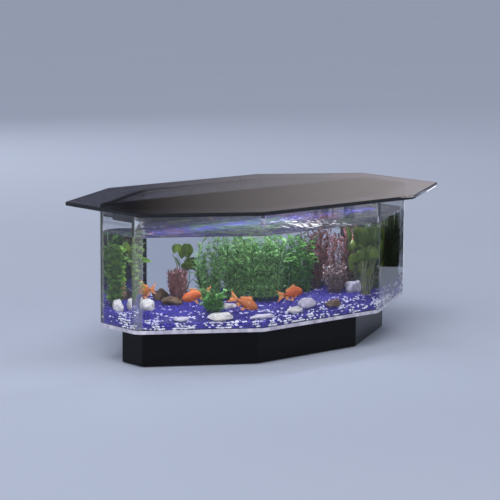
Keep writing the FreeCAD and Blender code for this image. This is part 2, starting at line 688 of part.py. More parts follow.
def make_pump_fittings():
    """Hanger from the hood, flow dial and the pump's lead."""
    centre = ("pump_place", "service_line")
    web = block("hanger_web", "hanger_side", "hanger_skin", "hood_bottom - pump_top",
                ("pump_place", "service_line + hanger_side / 2 - hanger_skin / 2", "pump_top"))
    foot = block("hanger_foot", "hanger_side", "hanger_side", "hanger_skin",
                 centre + ("pump_top",))
    head = block("hanger_head", "hanger_side", "hanger_side", "hanger_skin",
                 centre + ("hood_bottom - hanger_skin",))
    keep(union("hanger", [web, foot, head]), "pump_hanger")
    face = "pump_place + pump_side / 2"
    stem = rod("dial_stem", "dial_stem_radius", "hood_skin + dial_gap",
               (f"{face} - hood_skin", "service_line", "riser_level"), "x")
    knob = rod("dial_knob", "dial_radius", "dial_length",
               (f"{face} + dial_gap", "service_line", "riser_level"), "x")
    pointer = block("dial_pointer", "1", "hood_skin", "dial_radius",
                    (f"{face} + dial_gap + dial_length + 0.5", "service_line", "riser_level"))
    keep(union("dial", [stem, knob, pointer]), "flow_dial")
    lead = rod("lead", "lead_radius", f"{HOOD_FLOOR} + hood_skin - pump_top",
               ("lead_place", "service_line", "pump_top"))
    keep(lead, "pump_lead")


# ---------------------------------------------------------------- planting and fish

def make_gravel():
    """Gravel over the whole floor, round the standpipe."""
    inset = "wall_thickness + gravel_gap"
    pipe_hole = (("pipe_place", "service_line"), "pipe_radius + gravel_gap")
    bed = octagon_body("gravel", "tank", f"gravel_top - {FLOOR_TOP}", FLOOR_TOP, inset=inset,
                       holes=[pipe_hole])
    round_corners(bed, "tank", inset, "bend_radius - wall_thickness - gravel_gap")
    keep(bed, "gravel_bed")


# Each stone: place along and across the table, half length, half width, height, turn.
STONES = {
    "white_stones": [(-452, 30, 16, 20, 28, 0), (-392, 14, 24, 15, 27, -41),
                     (-288, -175, 40, 13, 17, -32), (-78, -224, 26, 14, 14, 0),
                     (-205, -100, 22, 11, 12, 20)],
    "brown_stones": [(-272, 60, 36, 18, 20, -41), (-238, 158, 24, 16, 28, -20),
                     (66, -222, 25, 13, 17, 0)],
    "pale_stones": [(-380, -120, 26, 11, 9, -32), (-196, -228, 38, 11, 9, 0),
                    (-24, -206, 30, 15, 22, 10), (220, -92, 34, 22, 30, -41)],
}


def make_stones(node, stones):
    """Flat-bottomed stones that stand on the gravel."""
    lumps = []
    for along, across, half_length, half_width, height, angle in stones:
        lump = doc.addObject("Part::Ellipsoid", "stone")
        lump.Radius1, lump.Radius2, lump.Radius3 = height, half_length, half_width
        lump.Angle1 = 0
        place(lump, (along, across, "gravel_top"), Rotation(Vector(0, 0, 1), angle))
        lumps.append(lump)
    keep(group(node + "_group", lumps), node)


# Each kind of plant: the sizes it takes from the sheet, and where its stalks root.
PLANTS = {
    "broad_leaf_plant": ("broad_leaf", [(-410, 75)]),
    "lily_plant_left": ("lily", [(-125, 195)]),
    "pink_coral_plant": ("coral", [(-228, 96)]),
    "low_green_plant": ("clump", [(-284, -134)]),
    "fern_plants": ("fern", [(-140, 66), (-96, 14), (-60, -44), (-44, 62)]),
    "bush_plants": ("bush", [(26, 4), (95, 40), (60, 112)]),
    "red_stem_plants": ("red_stem", [(164, 84), (222, 128), (228, -6)]),
    "beige_plant": ("beige", [(169, -56)]),
    "lily_plant_right": ("tall_lily", [(214, -176)]),
    "end_weed_plants": ("end_weed", [(300, -84), (372, -84), (426, -14), (350, 116), (438, 62)]),
}


def make_plants(node, kind, roots):
    """Closed bodies that hold a plant's leaves, wider at the crown than at the root."""
    stalks = []
    for along, across in roots:
        stalk = doc.addObject("Part::Cone", "stalk")
        bind(stalk, Radius1=kind + "_root", Radius2=kind + "_crown", Height=kind + "_height")
        stalks.append(place(stalk, (along, across, "gravel_top")))
    keep(stalks[0] if len(stalks) == 1 else group(node + "_group", stalks), node)


# Each goldfish: where its middle is, and the heading of its nose.
FISH = [(-330, 118, 182, 192), (-279, -42, 182, 150), (-190, -160, 167, -35), (-40, -140, 174, -15)]


def make_goldfish():
    """Fish bodies with a tail fin each."""
    shoal = []
    for along, across, level, heading in FISH:
        trunk = doc.addObject("Part::Ellipsoid", "fish_trunk")
        bind(trunk, Radius1="fish_depth / 2", Radius2="fish_length / 2",
             Radius3="fish_width / 2")
        tail = block("fish_tail", "fish_tail", "2", "fish_depth - 4",
                     ("-fish_length / 2 - fish_tail / 4", "0", "2 - fish_depth / 2"))
        fish = union("fish", [trunk, tail])
        fish.Placement = Placement(Vector(along, across, level),
                                   Rotation(Vector(0, 0, 1), heading))
        shoal.append(fish)
    keep(group("shoal", shoal), "goldfish")


# ---------------------------------------------------------------- build, test and export

def build():
    """Make every sub-part."""
    for make in (make_feet, make_plinth_shell, make_plinth_frame, make_ballast, make_switch,
                 make_grommet, make_tank, make_bumpers, make_standpipe, make_glass_top,
                 make_hood, make_lamp, make_filter, make_wiring, make_pump, make_strainer,
                 make_riser, make_pump_fittings, make_gravel):
        make()
    for node, stones in STONES.items():
        make_stones(node, stones)
    for node, (kind, roots) in PLANTS.items():
        make_plants(node, kind, roots)
    make_goldfish()
    doc.recompute()


def test():
    """Stop if any object failed or any sub-part has no sound shape."""
    for item in doc.Objects:
        if {"Invalid", "Error"} & set(item.State):
            raise SystemExit(f"{item.Label} failed: {item.State}")
    for piece in pieces:
        if piece.Shape.isNull() or not piece.Shape.isValid() or not piece.Shape.Solids:
            raise SystemExit(f"{piece.Label} has no valid solid")


def export():
    """Write one STEP file for each sub-part."""
    os.makedirs("parts", exist_ok=True)
    for piece in pieces:
        piece.Shape.exportStep(f"parts/{piece.Label}.step")
        print(f"{piece.Label}: {len(piece.Shape.Solids)} solid(s), "
              f"{piece.Shape.Volume / 1000:.1f} cm3")
    print(f"{len(pieces)} sub-parts")


build()
test()
export()
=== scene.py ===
# %% [markdown]
# # An aquarium under a glass table top
# The real thing is a coffee table: an acrylic tank with eight sides stands on a black plinth and
# carries a loose smoked glass top. Water, gravel, plants and goldfish fill it, and a hood under
# the glass hides the lamp. The CAD model gives every size and place. This script keeps the CAD
# pieces whose shape is right, gives each a finish made from nodes, and builds the clear shell,
# the water and everything that grows or swims in it.

import json
import math
import random
from collections import namedtuple

import bmesh
import bpy
from mathutils import Matrix, Vector, noise


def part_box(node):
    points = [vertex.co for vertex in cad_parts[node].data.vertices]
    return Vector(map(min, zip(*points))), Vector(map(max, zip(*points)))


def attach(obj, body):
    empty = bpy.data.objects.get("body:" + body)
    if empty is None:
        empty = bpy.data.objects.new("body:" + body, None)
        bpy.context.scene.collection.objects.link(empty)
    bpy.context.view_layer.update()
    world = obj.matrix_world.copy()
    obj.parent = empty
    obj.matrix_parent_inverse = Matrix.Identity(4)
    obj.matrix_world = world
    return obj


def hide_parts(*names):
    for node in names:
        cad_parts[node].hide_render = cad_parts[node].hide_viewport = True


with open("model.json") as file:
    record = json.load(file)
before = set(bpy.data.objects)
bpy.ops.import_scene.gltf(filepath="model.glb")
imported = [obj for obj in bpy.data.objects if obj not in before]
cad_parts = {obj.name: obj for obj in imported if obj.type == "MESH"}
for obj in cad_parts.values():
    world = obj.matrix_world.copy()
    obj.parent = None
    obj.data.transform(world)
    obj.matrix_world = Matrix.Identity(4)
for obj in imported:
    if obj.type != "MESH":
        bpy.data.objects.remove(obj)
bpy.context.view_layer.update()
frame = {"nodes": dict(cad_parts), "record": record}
nodes = frame["nodes"]

# %% [markdown]
# ## Camera
# A long lens far away keeps the eight sides nearly parallel. The camera stands in front of the
# table's left end, a little above the glass, and its aim is given as two angles and a small tilt.

# %% Camera
CAMERA_PLACE = (-3.655, -4.103, 1.113)
CAMERA_TURN, CAMERA_DIP, CAMERA_TILT = math.radians(41.43), math.radians(8.75), math.radians(0.4)
eye = bpy.data.cameras.new("camera")
eye.sensor_width, eye.lens, eye.clip_end = 36.0, 143.06, 400.0
camera = bpy.data.objects.new("camera", eye)
level_aim = Matrix.Rotation(-CAMERA_TURN, 4, "Z") @ Matrix.Rotation(math.pi / 2 - CAMERA_DIP, 4, "X")
camera.matrix_world = Matrix.Translation(CAMERA_PLACE) @ level_aim @ Matrix.Rotation(CAMERA_TILT, 4, "Z")
bpy.context.scene.collection.objects.link(camera)
bpy.context.scene.camera = camera
bpy.context.scene.view_settings.view_transform = "Standard"
print("camera at", CAMERA_PLACE)

# %% [markdown]
# ## Shader sums written as Python
# A finish is easier to read as a sum than as a web of boxes. A Wire stands for one output of a
# shader node. Adding or multiplying wires adds Math nodes, and `node` adds any other kind.

# %% The wire


class Wire:
    """One output of a shader node, which can stand in a sum with numbers and other wires."""

    def __init__(self, tree, socket=None):
        self.tree, self.socket = tree, socket

    def node(self, kind, settings=None, inputs=None, output=0):
        """Add a node, its settings before its inputs, and give one of its outputs, if it has any."""
        made = self.tree.nodes.new("ShaderNode" + kind)
        for name, value in (settings or {}).items():
            if name == "stops":
                set_stops(made.color_ramp, value)
            else:
                setattr(made, name, value)
        for name, value in (inputs or {}).items():
            if isinstance(value, Wire):
                self.tree.links.new(value.socket, made.inputs[name])
            else:
                made.inputs[name].default_value = value
        return Wire(self.tree, made.outputs[output]) if made.outputs else None

    def math(self, operation, first, second=0.0):
        return self.node("Math", {"operation": operation}, {0: first, 1: second})

    def __add__(self, other):
        return self.math("ADD", self, other)

    def __sub__(self, other):
        return self.math("SUBTRACT", self, other)

    def __rsub__(self, other):
        return self.math("SUBTRACT", other, self)

    def __mul__(self, other):
        return self.math("MULTIPLY", self, other)

    def __abs__(self):
        return self.math("ABSOLUTE", self)

    def larger(self, other):
        return self.math("MAXIMUM", self, other)

    def clamped(self):
        return self.node("Clamp", {}, {0: self})

    __radd__, __rmul__ = __add__, __mul__


def set_stops(ramp, stops):
    """Give a colour ramp its stops, each a position and a colour."""
    ramp.elements.remove(ramp.elements[1])
    ramp.elements[0].position, ramp.elements[0].color = stops[0]
    for position, colour in stops[1:]:
        ramp.elements.new(position).color = colour


print("wires can be added, subtracted, multiplied and clamped")

# %% [markdown]
# The helpers below are the words the finishes are written in: a colour, a noise, a bump, a blend
# of two colours, and the last step, which plugs a Principled shader into the output. Patterns read
# Object coordinates, which stay with a piece when its joint moves.

# %% Words for finishes


def rgb(red, green, blue):
    return (red, green, blue, 1.0)


def new_material(name):
    """An empty material and a wire to start its nodes from."""
    made = bpy.data.materials.new(name)
    made.use_nodes = True
    made.node_tree.nodes.clear()
    return made, Wire(made.node_tree)


def noise_of(desk, scale, detail=3.0, stretch=(1.0, 1.0, 1.0)):
    """Noise on the piece's own coordinates, in waves per metre, drawn out along an axis if asked."""
    spot = desk.node("TexCoord", output="Object")
    spot = desk.node("Mapping", {}, {"Vector": spot, "Scale": stretch})
    return desk.node("TexNoise", {}, {"Vector": spot, "Scale": scale, "Detail": detail})


def cells_of(desk, scale):
    """How far each point is from the middle of its Voronoi cell."""
    spot = desk.node("TexCoord", output="Object")
    return desk.node("TexVoronoi", {}, {"Vector": spot, "Scale": scale}, "Distance")


def tone_of(desk):
    """The tone that was stamped on each small shape, from 0 to 1."""
    return desk.node("Attribute", {"attribute_name": "tone"}, output="Fac")


def blend(factor, first, second):
    """Mix two colours."""
    return factor.node("Mix", {"data_type": "RGBA"}, {0: factor, 6: first, 7: second}, 2)


def bump_of(height, strength, distance=0.001):
    return height.node("Bump", {}, {"Height": height, "Strength": strength, "Distance": distance})


def finish(made, desk, colour, roughness, normal=None, others=None):
    """Plug a Principled shader into the material's output."""
    inputs = {"Base Color": colour, "Roughness": roughness} | (others or {})
    if normal:
        inputs["Normal"] = normal
    desk.node("OutputMaterial", {}, {"Surface": desk.node("BsdfPrincipled", {}, inputs)})
    return made


print("words for finishes are ready")

# %% [markdown]
# ## Floor
# A wide pale sheet of paper runs to the horizon. It is matt, so that the table's dark plinth throws
# a soft shadow on it and no mirror image. A backdrop would show its edge from the other sides.

# %% Floor


def object_from(bm, name, finishes):
    """Turn a finished bmesh into an object with its finishes, and put it in the scene."""
    mesh = bpy.data.meshes.new(name)
    bm.to_mesh(mesh)
    bm.free()
    for each in finishes:
        mesh.materials.append(each)
    made = bpy.data.objects.new(name, mesh)
    bpy.context.scene.collection.objects.link(made)
    return made


def matt(name, scale, dark, light, roughness):
    """A surface with no gloss at all, in two close shades."""
    made, desk = new_material(name)
    return finish(made, desk, blend(noise_of(desk, scale), dark, light), roughness,
                  others={"Specular IOR Level": 0.0})


FLOOR_SIDE = 300.0
sheet = bmesh.new()
bmesh.ops.create_grid(sheet, x_segments=2, y_segments=2, size=FLOOR_SIDE / 2)
floor = object_from(sheet, "studio_floor", [
    matt("pale_paper", 0.8, rgb(0.47, 0.53, 0.68), rgb(0.50, 0.56, 0.70), 0.9)])
print("floor:", FLOOR_SIDE, "m square")

# %% [markdown]
# ## Air
# Smoked glass is a mirror when it is seen at a slant, so its tone is the tone of the air just above
# the horizon. The air is dark there and brighter overhead, and a warm band glows a little right of
# the camera's aim, which the glass shows as a pale sheen. A colour ramp on the height makes the
# one, and a ramp on the direction the other.

# %% Air
AIR_STOPS = [(0.0, rgb(0.03, 0.03, 0.04)), (0.20, rgb(0.04, 0.04, 0.05)),
             (0.45, rgb(0.42, 0.44, 0.52)), (1.0, rgb(0.80, 0.83, 0.90))]
WARM_STOPS = [(0.47, rgb(0.02, 0.02, 0.02)), (0.545, rgb(1.0, 0.93, 0.94)),
              (0.66, rgb(0.10, 0.10, 0.12))]
GLOW_SIDE = (math.cos(CAMERA_TURN), -math.sin(CAMERA_TURN), 0.0)
air = bpy.data.worlds.new("studio_air")
air.use_nodes = True
air.node_tree.nodes.clear()
desk = Wire(air.node_tree)
way = desk.node("TexCoord", output="Generated")
height = desk.node("SeparateXYZ", {}, {0: way}, "Z")
side = desk.node("VectorMath", {"operation": "DOT_PRODUCT"}, {0: way, 1: GLOW_SIDE}, "Value")
tint = desk.node("ValToRGB", {"stops": AIR_STOPS}, {0: height})
warm = desk.node("ValToRGB", {"stops": WARM_STOPS}, {0: side * 0.5 + 0.5})
tint = desk.node("VectorMath", {"operation": "MAXIMUM"}, {0: tint, 1: warm})
glow = desk.node("Background", {}, {"Color": tint, "Strength": 0.5})
desk.node("OutputWorld", {}, {"Surface": glow})
bpy.context.scene.world = air
print("air: dark at the horizon, bright overhead")

# %% [markdown]
# ## Lamps
# Large soft lamps stand round the table, so that no side is black and no shadow is hard. A narrow
# one at each end lights only the gloss of the bent corners, where real bends catch a bright line.
# The lamps are hidden from the camera, because the floor has no walls to hide them behind.

# %% Lamps


def soft_lamp(name, place, aim, size, power, tint=(1.0, 1.0, 1.0)):
    """A rectangular lamp that faces a point."""
    data = bpy.data.lights.new(name, "AREA")
    data.shape, data.energy, data.color = "RECTANGLE", power, tint
    data.size, data.size_y = size
    lamp = bpy.data.objects.new(name, data)
    lamp.location = place
    lamp.rotation_mode = "QUATERNION"
    lamp.rotation_quaternion = (Vector(aim) - Vector(place)).to_track_quat("-Z", "Y")
    lamp.visible_camera = False
    bpy.context.scene.collection.objects.link(lamp)
    return lamp


TABLE_MIDDLE, DAYLIGHT = (0.0, 0.0, 0.25), (1.0, 0.98, 0.94)
sun_data = bpy.data.lights.new("sky_lamp", "SUN")
sun_data.energy, sun_data.angle, sun_data.color = 1.15, math.radians(30), DAYLIGHT
sun = bpy.data.objects.new("sky_lamp", sun_data)
sun.rotation_mode = "QUATERNION"
sun.rotation_quaternion = Vector((0.50, 0.45, -1.0)).to_track_quat("-Z", "Y")
bpy.context.scene.collection.objects.link(sun)
for name, place, *look in (
        ("key_lamp", (-5.6, -2.4, 5.0), (3.2, 3.2), 60, DAYLIGHT),
        ("front_lamp", (2.4, -6.4, 3.2), (3.0, 2.4), 70, DAYLIGHT),
        ("low_fill_lamp", (-4.3, -5.0, 1.5), (1.6, 1.0), 70, (1.0, 0.98, 0.95)),
        ("back_lamp", (1.6, 5.6, 3.0), (3.0, 2.4), 60, DAYLIGHT),
        ("left_strip", (-3.2, 0.9, 0.9), (0.22, 1.5), 16)):
    soft_lamp(name, place, TABLE_MIDDLE, *look)
for name, place, corner in (("bend_lamp_left", (-1.28, -0.21, 0.15), (-0.5, -0.08, 0.28)),
                            ("bend_lamp_right", (1.17, 0.33, 0.15), (0.5, -0.08, 0.28))):
    bend_lamp = soft_lamp(name, place, corner, (0.07, 0.30), 0.35)
    bend_lamp.visible_diffuse = False
print("lamps round the table:", [light.name for light in bpy.data.lights])

# %% [markdown]
# A dark strip of felt lies on the floor beyond the right end. Only reflections see it: it gives
# that end's wall something dark to mirror. A darker floor would do the same, but it would show.

# %% Dark strip
CARD_SIZE, CARD_PLACE, CARD_TURN = (2.0, 0.22, 1.0), (2.47, 0.60, 0.003), math.radians(20)
card = bmesh.new()
bmesh.ops.create_grid(card, x_segments=1, y_segments=1, size=0.5)
bmesh.ops.scale(card, vec=CARD_SIZE, verts=card.verts)
bmesh.ops.rotate(card, cent=(0, 0, 0), matrix=Matrix.Rotation(CARD_TURN, 3, "Z"), verts=card.verts)
bmesh.ops.translate(card, vec=CARD_PLACE, verts=card.verts)
dark_card = object_from(card, "dark_card", [
    matt("dark_felt", 200.0, rgb(0.005, 0.005, 0.005), rgb(0.012, 0.011, 0.010), 1.0)])
for ray in ("camera", "diffuse", "shadow", "transmission"):
    setattr(dark_card, f"visible_{ray}", False)
print("dark strip:", CARD_SIZE[:2], "m at", CARD_PLACE)

# %% [markdown]
# The real lamp is a fluorescent tube behind a lens in the hood. A path tracer finds a thin glowing
# tube behind a lens badly, so one long soft lamp under the lens does its work, and a shorter one
# adds the sparkle on the water.

# %% Lamps under the hood
LENS_GAP = 0.006
lens_low, lens_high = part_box("lamp_lens")
lens_middle = (lens_low + lens_high) / 2
lens_under = lens_low.z - LENS_GAP
hood_lamp = soft_lamp("hood_lamp", (0.0, lens_middle.y, lens_under),
                      (0.0, lens_middle.y, 0.0), (0.82, 0.05), 3.4, (0.96, 0.97, 1.0))
hood_lamp.visible_glossy = False
soft_lamp("sparkle_lamp", (0.04, lens_middle.y, lens_under), (0.04, lens_middle.y, 0.0),
          (0.24, 0.04), 0.5)
print("lamps under the hood at", round(lens_under, 3), "m")

# %% [markdown]
# ## Hard finishes
# The plinth is polished black acrylic: near black, very smooth, with a little dust and the fine
# scratches of handling. Both could be drawn as dents, but on a real gloss they show only as a
# duller sheen, so two noises mostly feed the roughness.

# %% Black acrylic


def black_acrylic():
    """Polished plate with dust and long level scratches."""
    made, desk = new_material("black_acrylic")
    dust = noise_of(desk, 260.0, 5.0)
    scratch = noise_of(desk, 90.0, 4.0, (1.0, 1.0, 14.0))
    gloss = 0.06 + 0.12 * scratch + 0.06 * dust
    shade = blend(dust * 0.6, rgb(0.002, 0.002, 0.002), rgb(0.008, 0.007, 0.008))
    return finish(made, desk, shade, gloss, bump_of(scratch, 0.02), {"Specular IOR Level": 0.16})


FINISHES = {"black_acrylic": black_acrylic()}
print("first finish:", *FINISHES)

# %% [markdown]
# The hood, the filter, the wiring and the feet are plastic, rubber, enamel and metal. Most need
# only two close shades and a grain of the right size, so one function makes them all: pores for
# plastic, finer ones for rubber, broad soft waves for enamel.

# %% Moulded plastics, rubber, enamel and metal


def moulded(name, dark, light, gloss, grain=700.0, depth=0.12):
    """A moulded plastic or rubber: two close shades and a fine grain."""
    made, desk = new_material(name)
    mottle = noise_of(desk, 35.0)
    pores = noise_of(desk, grain, 2.0)
    return finish(made, desk, blend(mottle, dark, light), gloss + 0.15 * pores,
                  bump_of(pores, depth))


def metal(name, tint, gloss):
    """Bare metal with the fine lines of its drawing or turning."""
    made, desk = new_material(name)
    lines = noise_of(desk, 500.0, 2.0, (0.1, 1.0, 1.0))
    shade = blend(lines, tint, rgb(0.85, 0.85, 0.86))
    return finish(made, desk, shade, gloss + 0.2 * lines, bump_of(lines, 0.05), {"Metallic": 1.0})


def hammered_enamel():
    """Paint that dries in small dimples, as on the ballast's case."""
    made, desk = new_material("hammered_grey_enamel")
    dimple = cells_of(desk, 260.0)
    shade = blend(dimple, rgb(0.20, 0.21, 0.22), rgb(0.30, 0.31, 0.32))
    return finish(made, desk, shade, 0.3 + 0.1 * dimple, bump_of(dimple, 0.5))


def open_foam():
    """The filter's sponge: paler threads round pores painted dark, as painted shade in the holes."""
    made, desk = new_material("filter_foam")
    pore = cells_of(desk, 420.0)
    # painted shade: the middle of each pore is painted darker, as the shade inside a hole
    shade = blend(pore * 1.4, rgb(0.01, 0.012, 0.02), rgb(0.07, 0.08, 0.12))
    return finish(made, desk, shade, 0.95, bump_of(pore, 1.0, 0.002))


def glowing_phosphor():
    """The lit powder inside a fluorescent tube."""
    made, desk = new_material("lamp_phosphor")
    powder = noise_of(desk, 300.0)
    glow = blend(powder, rgb(0.92, 0.95, 1.0), rgb(1.0, 1.0, 1.0))
    return finish(made, desk, glow, 0.4,
                  others={"Emission Color": glow, "Emission Strength": 6.0})


MOULDED = {
    "black_plastic": (rgb(0.016, 0.016, 0.018), rgb(0.032, 0.032, 0.036), 0.30),
    "black_rubber": (rgb(0.018, 0.018, 0.018), rgb(0.040, 0.040, 0.040), 0.58, 1500.0),
    "white_plastic": (rgb(0.72, 0.72, 0.70), rgb(0.82, 0.82, 0.80), 0.35),
    "white_enamel": (rgb(0.80, 0.81, 0.82), rgb(0.88, 0.88, 0.88), 0.15, 200.0, 0.05),
    "white_ceramic": (rgb(0.80, 0.78, 0.74), rgb(0.88, 0.87, 0.84), 0.12, 900.0, 0.03),
}
FINISHES |= {name: moulded(name, *shades) for name, shades in MOULDED.items()}
FINISHES |= {
    "grey_enamel": hammered_enamel(),
    "zinc_steel": metal("zinc_steel", rgb(0.55, 0.56, 0.58), 0.25),
    "cap_metal": metal("cap_metal", rgb(0.70, 0.70, 0.71), 0.18),
    "filter_foam": open_foam(),
    "lamp_phosphor": glowing_phosphor(),
}
print("hard finishes:", sorted(FINISHES))

# %% [markdown]
# ## Clear finishes
# Light bends where one clear stuff meets another, and the shader has to be told by how much at
# each face: acrylic to air 1.49, water to air 1.33, and only 1.49 / 1.33 where acrylic meets
# water. Rays that look for a lamp go straight through, so the lamps reach what is inside.

# %% Clear finishes
ACRYLIC, WATER, GLASS, SILICONE = 1.49, 1.333, 1.52, 1.41


def let_lamps_through(made, desk, body, tint):
    """Show the body to every ray but those that look for a lamp, which pass straight on."""
    passing = desk.node("BsdfTransparent", {}, {"Color": tint})
    seeks_lamp = desk.node("LightPath", output="Is Shadow Ray")
    mixed = desk.node("MixShader", {}, {0: seeks_lamp, 1: body, 2: passing})
    desk.node("OutputMaterial", {}, {"Surface": mixed})
    return made


def clear(name, tint, bend, haze=0.0):
    """A clear stuff with a trace of cloud in its tint."""
    made, desk = new_material(name)
    specks = noise_of(desk, 60.0, 2.0)
    body = desk.node("BsdfPrincipled", {}, {
        "Base Color": blend(specks, tint, rgb(*(0.98 * part for part in tint[:3]))),
        "Roughness": haze, "IOR": bend, "Transmission Weight": 1.0})
    return let_lamps_through(made, desk, body, tint)


FINISHES |= {
    "clear_acrylic": clear("clear_acrylic", rgb(0.97, 0.98, 0.99), ACRYLIC),
    "wet_acrylic": clear("wet_acrylic", rgb(0.80, 0.82, 0.88), ACRYLIC / WATER),
    "smoked_glass": clear("smoked_glass", rgb(0.39, 0.37, 0.41), GLASS),
    "clear_silicone": clear("clear_silicone", rgb(0.90, 0.91, 0.93), SILICONE, 0.25),
}
print("acrylic bends light by", ACRYLIC, "when dry and", round(ACRYLIC / WATER, 3), "when wet")

# %% [markdown]
# Two parts of the shell aren't quite clear. Acrylic that was heated and bent round a corner stays a
# little milky, with fine upright lines. The edge of the floor plate is sawn and polished, and the
# light it gathers from the whole plate is a painted highlight on it: pale streaks that glow a little.
# The water's sides lie against the acrylic, which already bends the light there, so they do nothing
# at all.

# %% Bends, plate edge and the water's sides


def warmed_acrylic():
    """Acrylic where heat has bent it: a little milky, with fine upright draw lines."""
    made, desk = new_material("bent_acrylic")
    line = noise_of(desk, 260.0, 2.0, (1.0, 1.0, 0.02))
    shade = blend(line, rgb(0.66, 0.70, 0.68), rgb(0.93, 0.96, 0.95))
    return finish(made, desk, shade, 0.03 + 0.07 * line,
                  others={"IOR": ACRYLIC / WATER, "Transmission Weight": 0.88})


def edge_with_painted_glow():
    """The sawn and polished edge of a thick plate, with a painted highlight: pale streaks that glow."""
    made, desk = new_material("plate_edge_painted_glow")
    streak_and_highlight = noise_of(desk, 55.0, 4.0, (1.0, 1.0, 0.2))
    # painted highlight: the pale streaks, and the glow of the same colour, stand in for light the edge
    # gathers
    shade = blend(streak_and_highlight * 1.5 - 0.3, rgb(0.24, 0.23, 0.36), rgb(0.78, 0.76, 0.84))
    return finish(made, desk, shade, 0.12 + 0.2 * streak_and_highlight, others={
        "Coat Weight": 0.6, "Emission Color": shade, "Emission Strength": 0.06})


def passing_only(name):
    """A face that light crosses unchanged."""
    made, desk = new_material(name)
    passing = desk.node("BsdfTransparent", {}, {"Color": rgb(1.0, 1.0, 1.0)})
    desk.node("OutputMaterial", {}, {"Surface": passing})
    return made


FINISHES |= {
    "bent_acrylic": warmed_acrylic(),
    "plate_edge": edge_with_painted_glow(),
    "water_side": passing_only("water_side"),
}
print("clear finishes:", len(FINISHES), "finishes so far")

# %% [markdown]
# The pump keeps the water's skin moving. From below it mirrors the violet bed, and near the middle
# it glitters. A path tracer would need thousands of samples to gather both from real ripples, so
# the ripples are only low waves in the normal, and two noises paint both into the skin's colour: a
# painted violet reflection of the bed, and painted white glints that also glow a little.

# %% The water's skin
# where the painted glints gather, and how far they reach
GLINT_PLACE, GLINT_REACH = (0.03, -0.15, 0.355), 0.12
SKIN_TINT = rgb(0.95, 0.96, 1.0)


def lit_water():
    """The water's skin: low waves, a painted violet reflection of the bed, and painted glints that glow.
    """
    made, desk = new_material("water_surface")
    waves = (noise_of(desk, 9.0, 2.0) * 2.2 + 0.3 * noise_of(desk, 45.0, 1.0)
             + 0.03 * noise_of(desk, 160.0, 1.0))
    clear_part = desk.node("BsdfPrincipled", {}, {
        "Base Color": SKIN_TINT, "Roughness": 0.0, "IOR": WATER, "Transmission Weight": 1.0,
        "Normal": bump_of(waves, 1.0)})
    place = desk.node("TexCoord", output="Object")
    from_glints = desk.node("VectorMath", {"operation": "DISTANCE"},
                            {0: place, 1: GLINT_PLACE}, "Value")
    near = 1 - from_glints * (1 / GLINT_REACH)
    # painted light: the glints are painted white highlights with a little glow, and the violet patches
    # below are a painted reflection of the bed
    glint = ((noise_of(desk, 120.0, 4.0, (1.0, 0.5, 1.0)) - 0.64 + near * 0.20) * 16).clamped()
    painted_bed_reflection = ((noise_of(desk, 32.0, 4.0, (0.5, 1.0, 1.0)) - 0.36) * 4.0).clamped() * 0.80
    painted_light_part = desk.node("BsdfPrincipled", {}, {
        "Base Color": blend(glint, rgb(0.016, 0.015, 0.085), rgb(0.80, 0.82, 0.90)),
        "Roughness": 0.25, "Normal": bump_of(waves, 1.0), "Emission Strength": 0.7,
        "Emission Color": blend(glint, rgb(0.0, 0.0, 0.0), rgb(1.0, 1.0, 1.0))})
    skin = desk.node("MixShader", {}, {0: painted_bed_reflection.larger(glint), 1: clear_part, 2: painted_light_part})
    return let_lamps_through(made, desk, skin, SKIN_TINT)


FINISHES["water_surface"] = lit_water()
print("glints round", GLINT_PLACE)

# %% [markdown]
# ## Finishes for the CAD pieces that stay
# The record names a material slot for every CAD node, and slots and finishes share their names,
# so one loop dresses every piece whose finish exists. The rest are replaced further down.

# %% Dress the CAD pieces
slot_of = {part["node"]: part["material_slot"] for part in frame["record"]["subparts"]}
for name, part in nodes.items():
    if slot_of[name] in FINISHES:
        part.data.materials.clear()
        part.data.materials.append(FINISHES[slot_of[name]])
print("dressed:", sum(slot in FINISHES for slot in slot_of.values()), "CAD pieces")

# %% [markdown]
# ## The clear shell
# The tank's wall is one sheet of acrylic bent round eight corners, with a flange glued inside its
# rim. Both are clear, so their joint hardly shows, and they are made as one closed body: rings
# of edges are drawn at each change of width or level, and bridged from one to the next. Each
# corner of a ring is an arc, which `spin` draws from a single vertex. The rings meet at the water
# level as well, because acrylic bends light less where it is wet. A bevelled block with a block
# cut out of it would be quicker, but its corners would come out uneven.

# %% The tank's outline
TANK_FRONT, TANK_END = 0.430, 0.160
wall_low, wall_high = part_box("tank_wall")
rim_low, rim_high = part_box("rim_flange")
plate_low, plate_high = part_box("tank_floor")


def octagon(inset):
    """Corners of the tank's outline, anticlockwise, set in by a distance all round."""
    rise, run = wall_high.y - TANK_END / 2, wall_high.x - TANK_FRONT / 2
    slant = math.atan2(rise, run)
    front = TANK_FRONT / 2 - inset * math.tan(slant / 2)
    end = TANK_END / 2 - inset * math.tan((math.pi / 2 - slant) / 2)
    length, width = wall_high.x - inset, wall_high.y - inset
    right = [(front, -width), (length, -end), (length, end), (front, width)]
    return right + [(-x, -y) for x, y in right]


def sides(inset):
    """Start and end of each side of the outline, set in by a distance."""
    corners = [Vector((x, y, 0.0)) for x, y in octagon(inset)]
    return zip(corners, corners[1:] + corners[:1])


print("first corners of the outline:", octagon(0.0)[:2])

# %% Rings with round corners
BEND_STEPS = 8


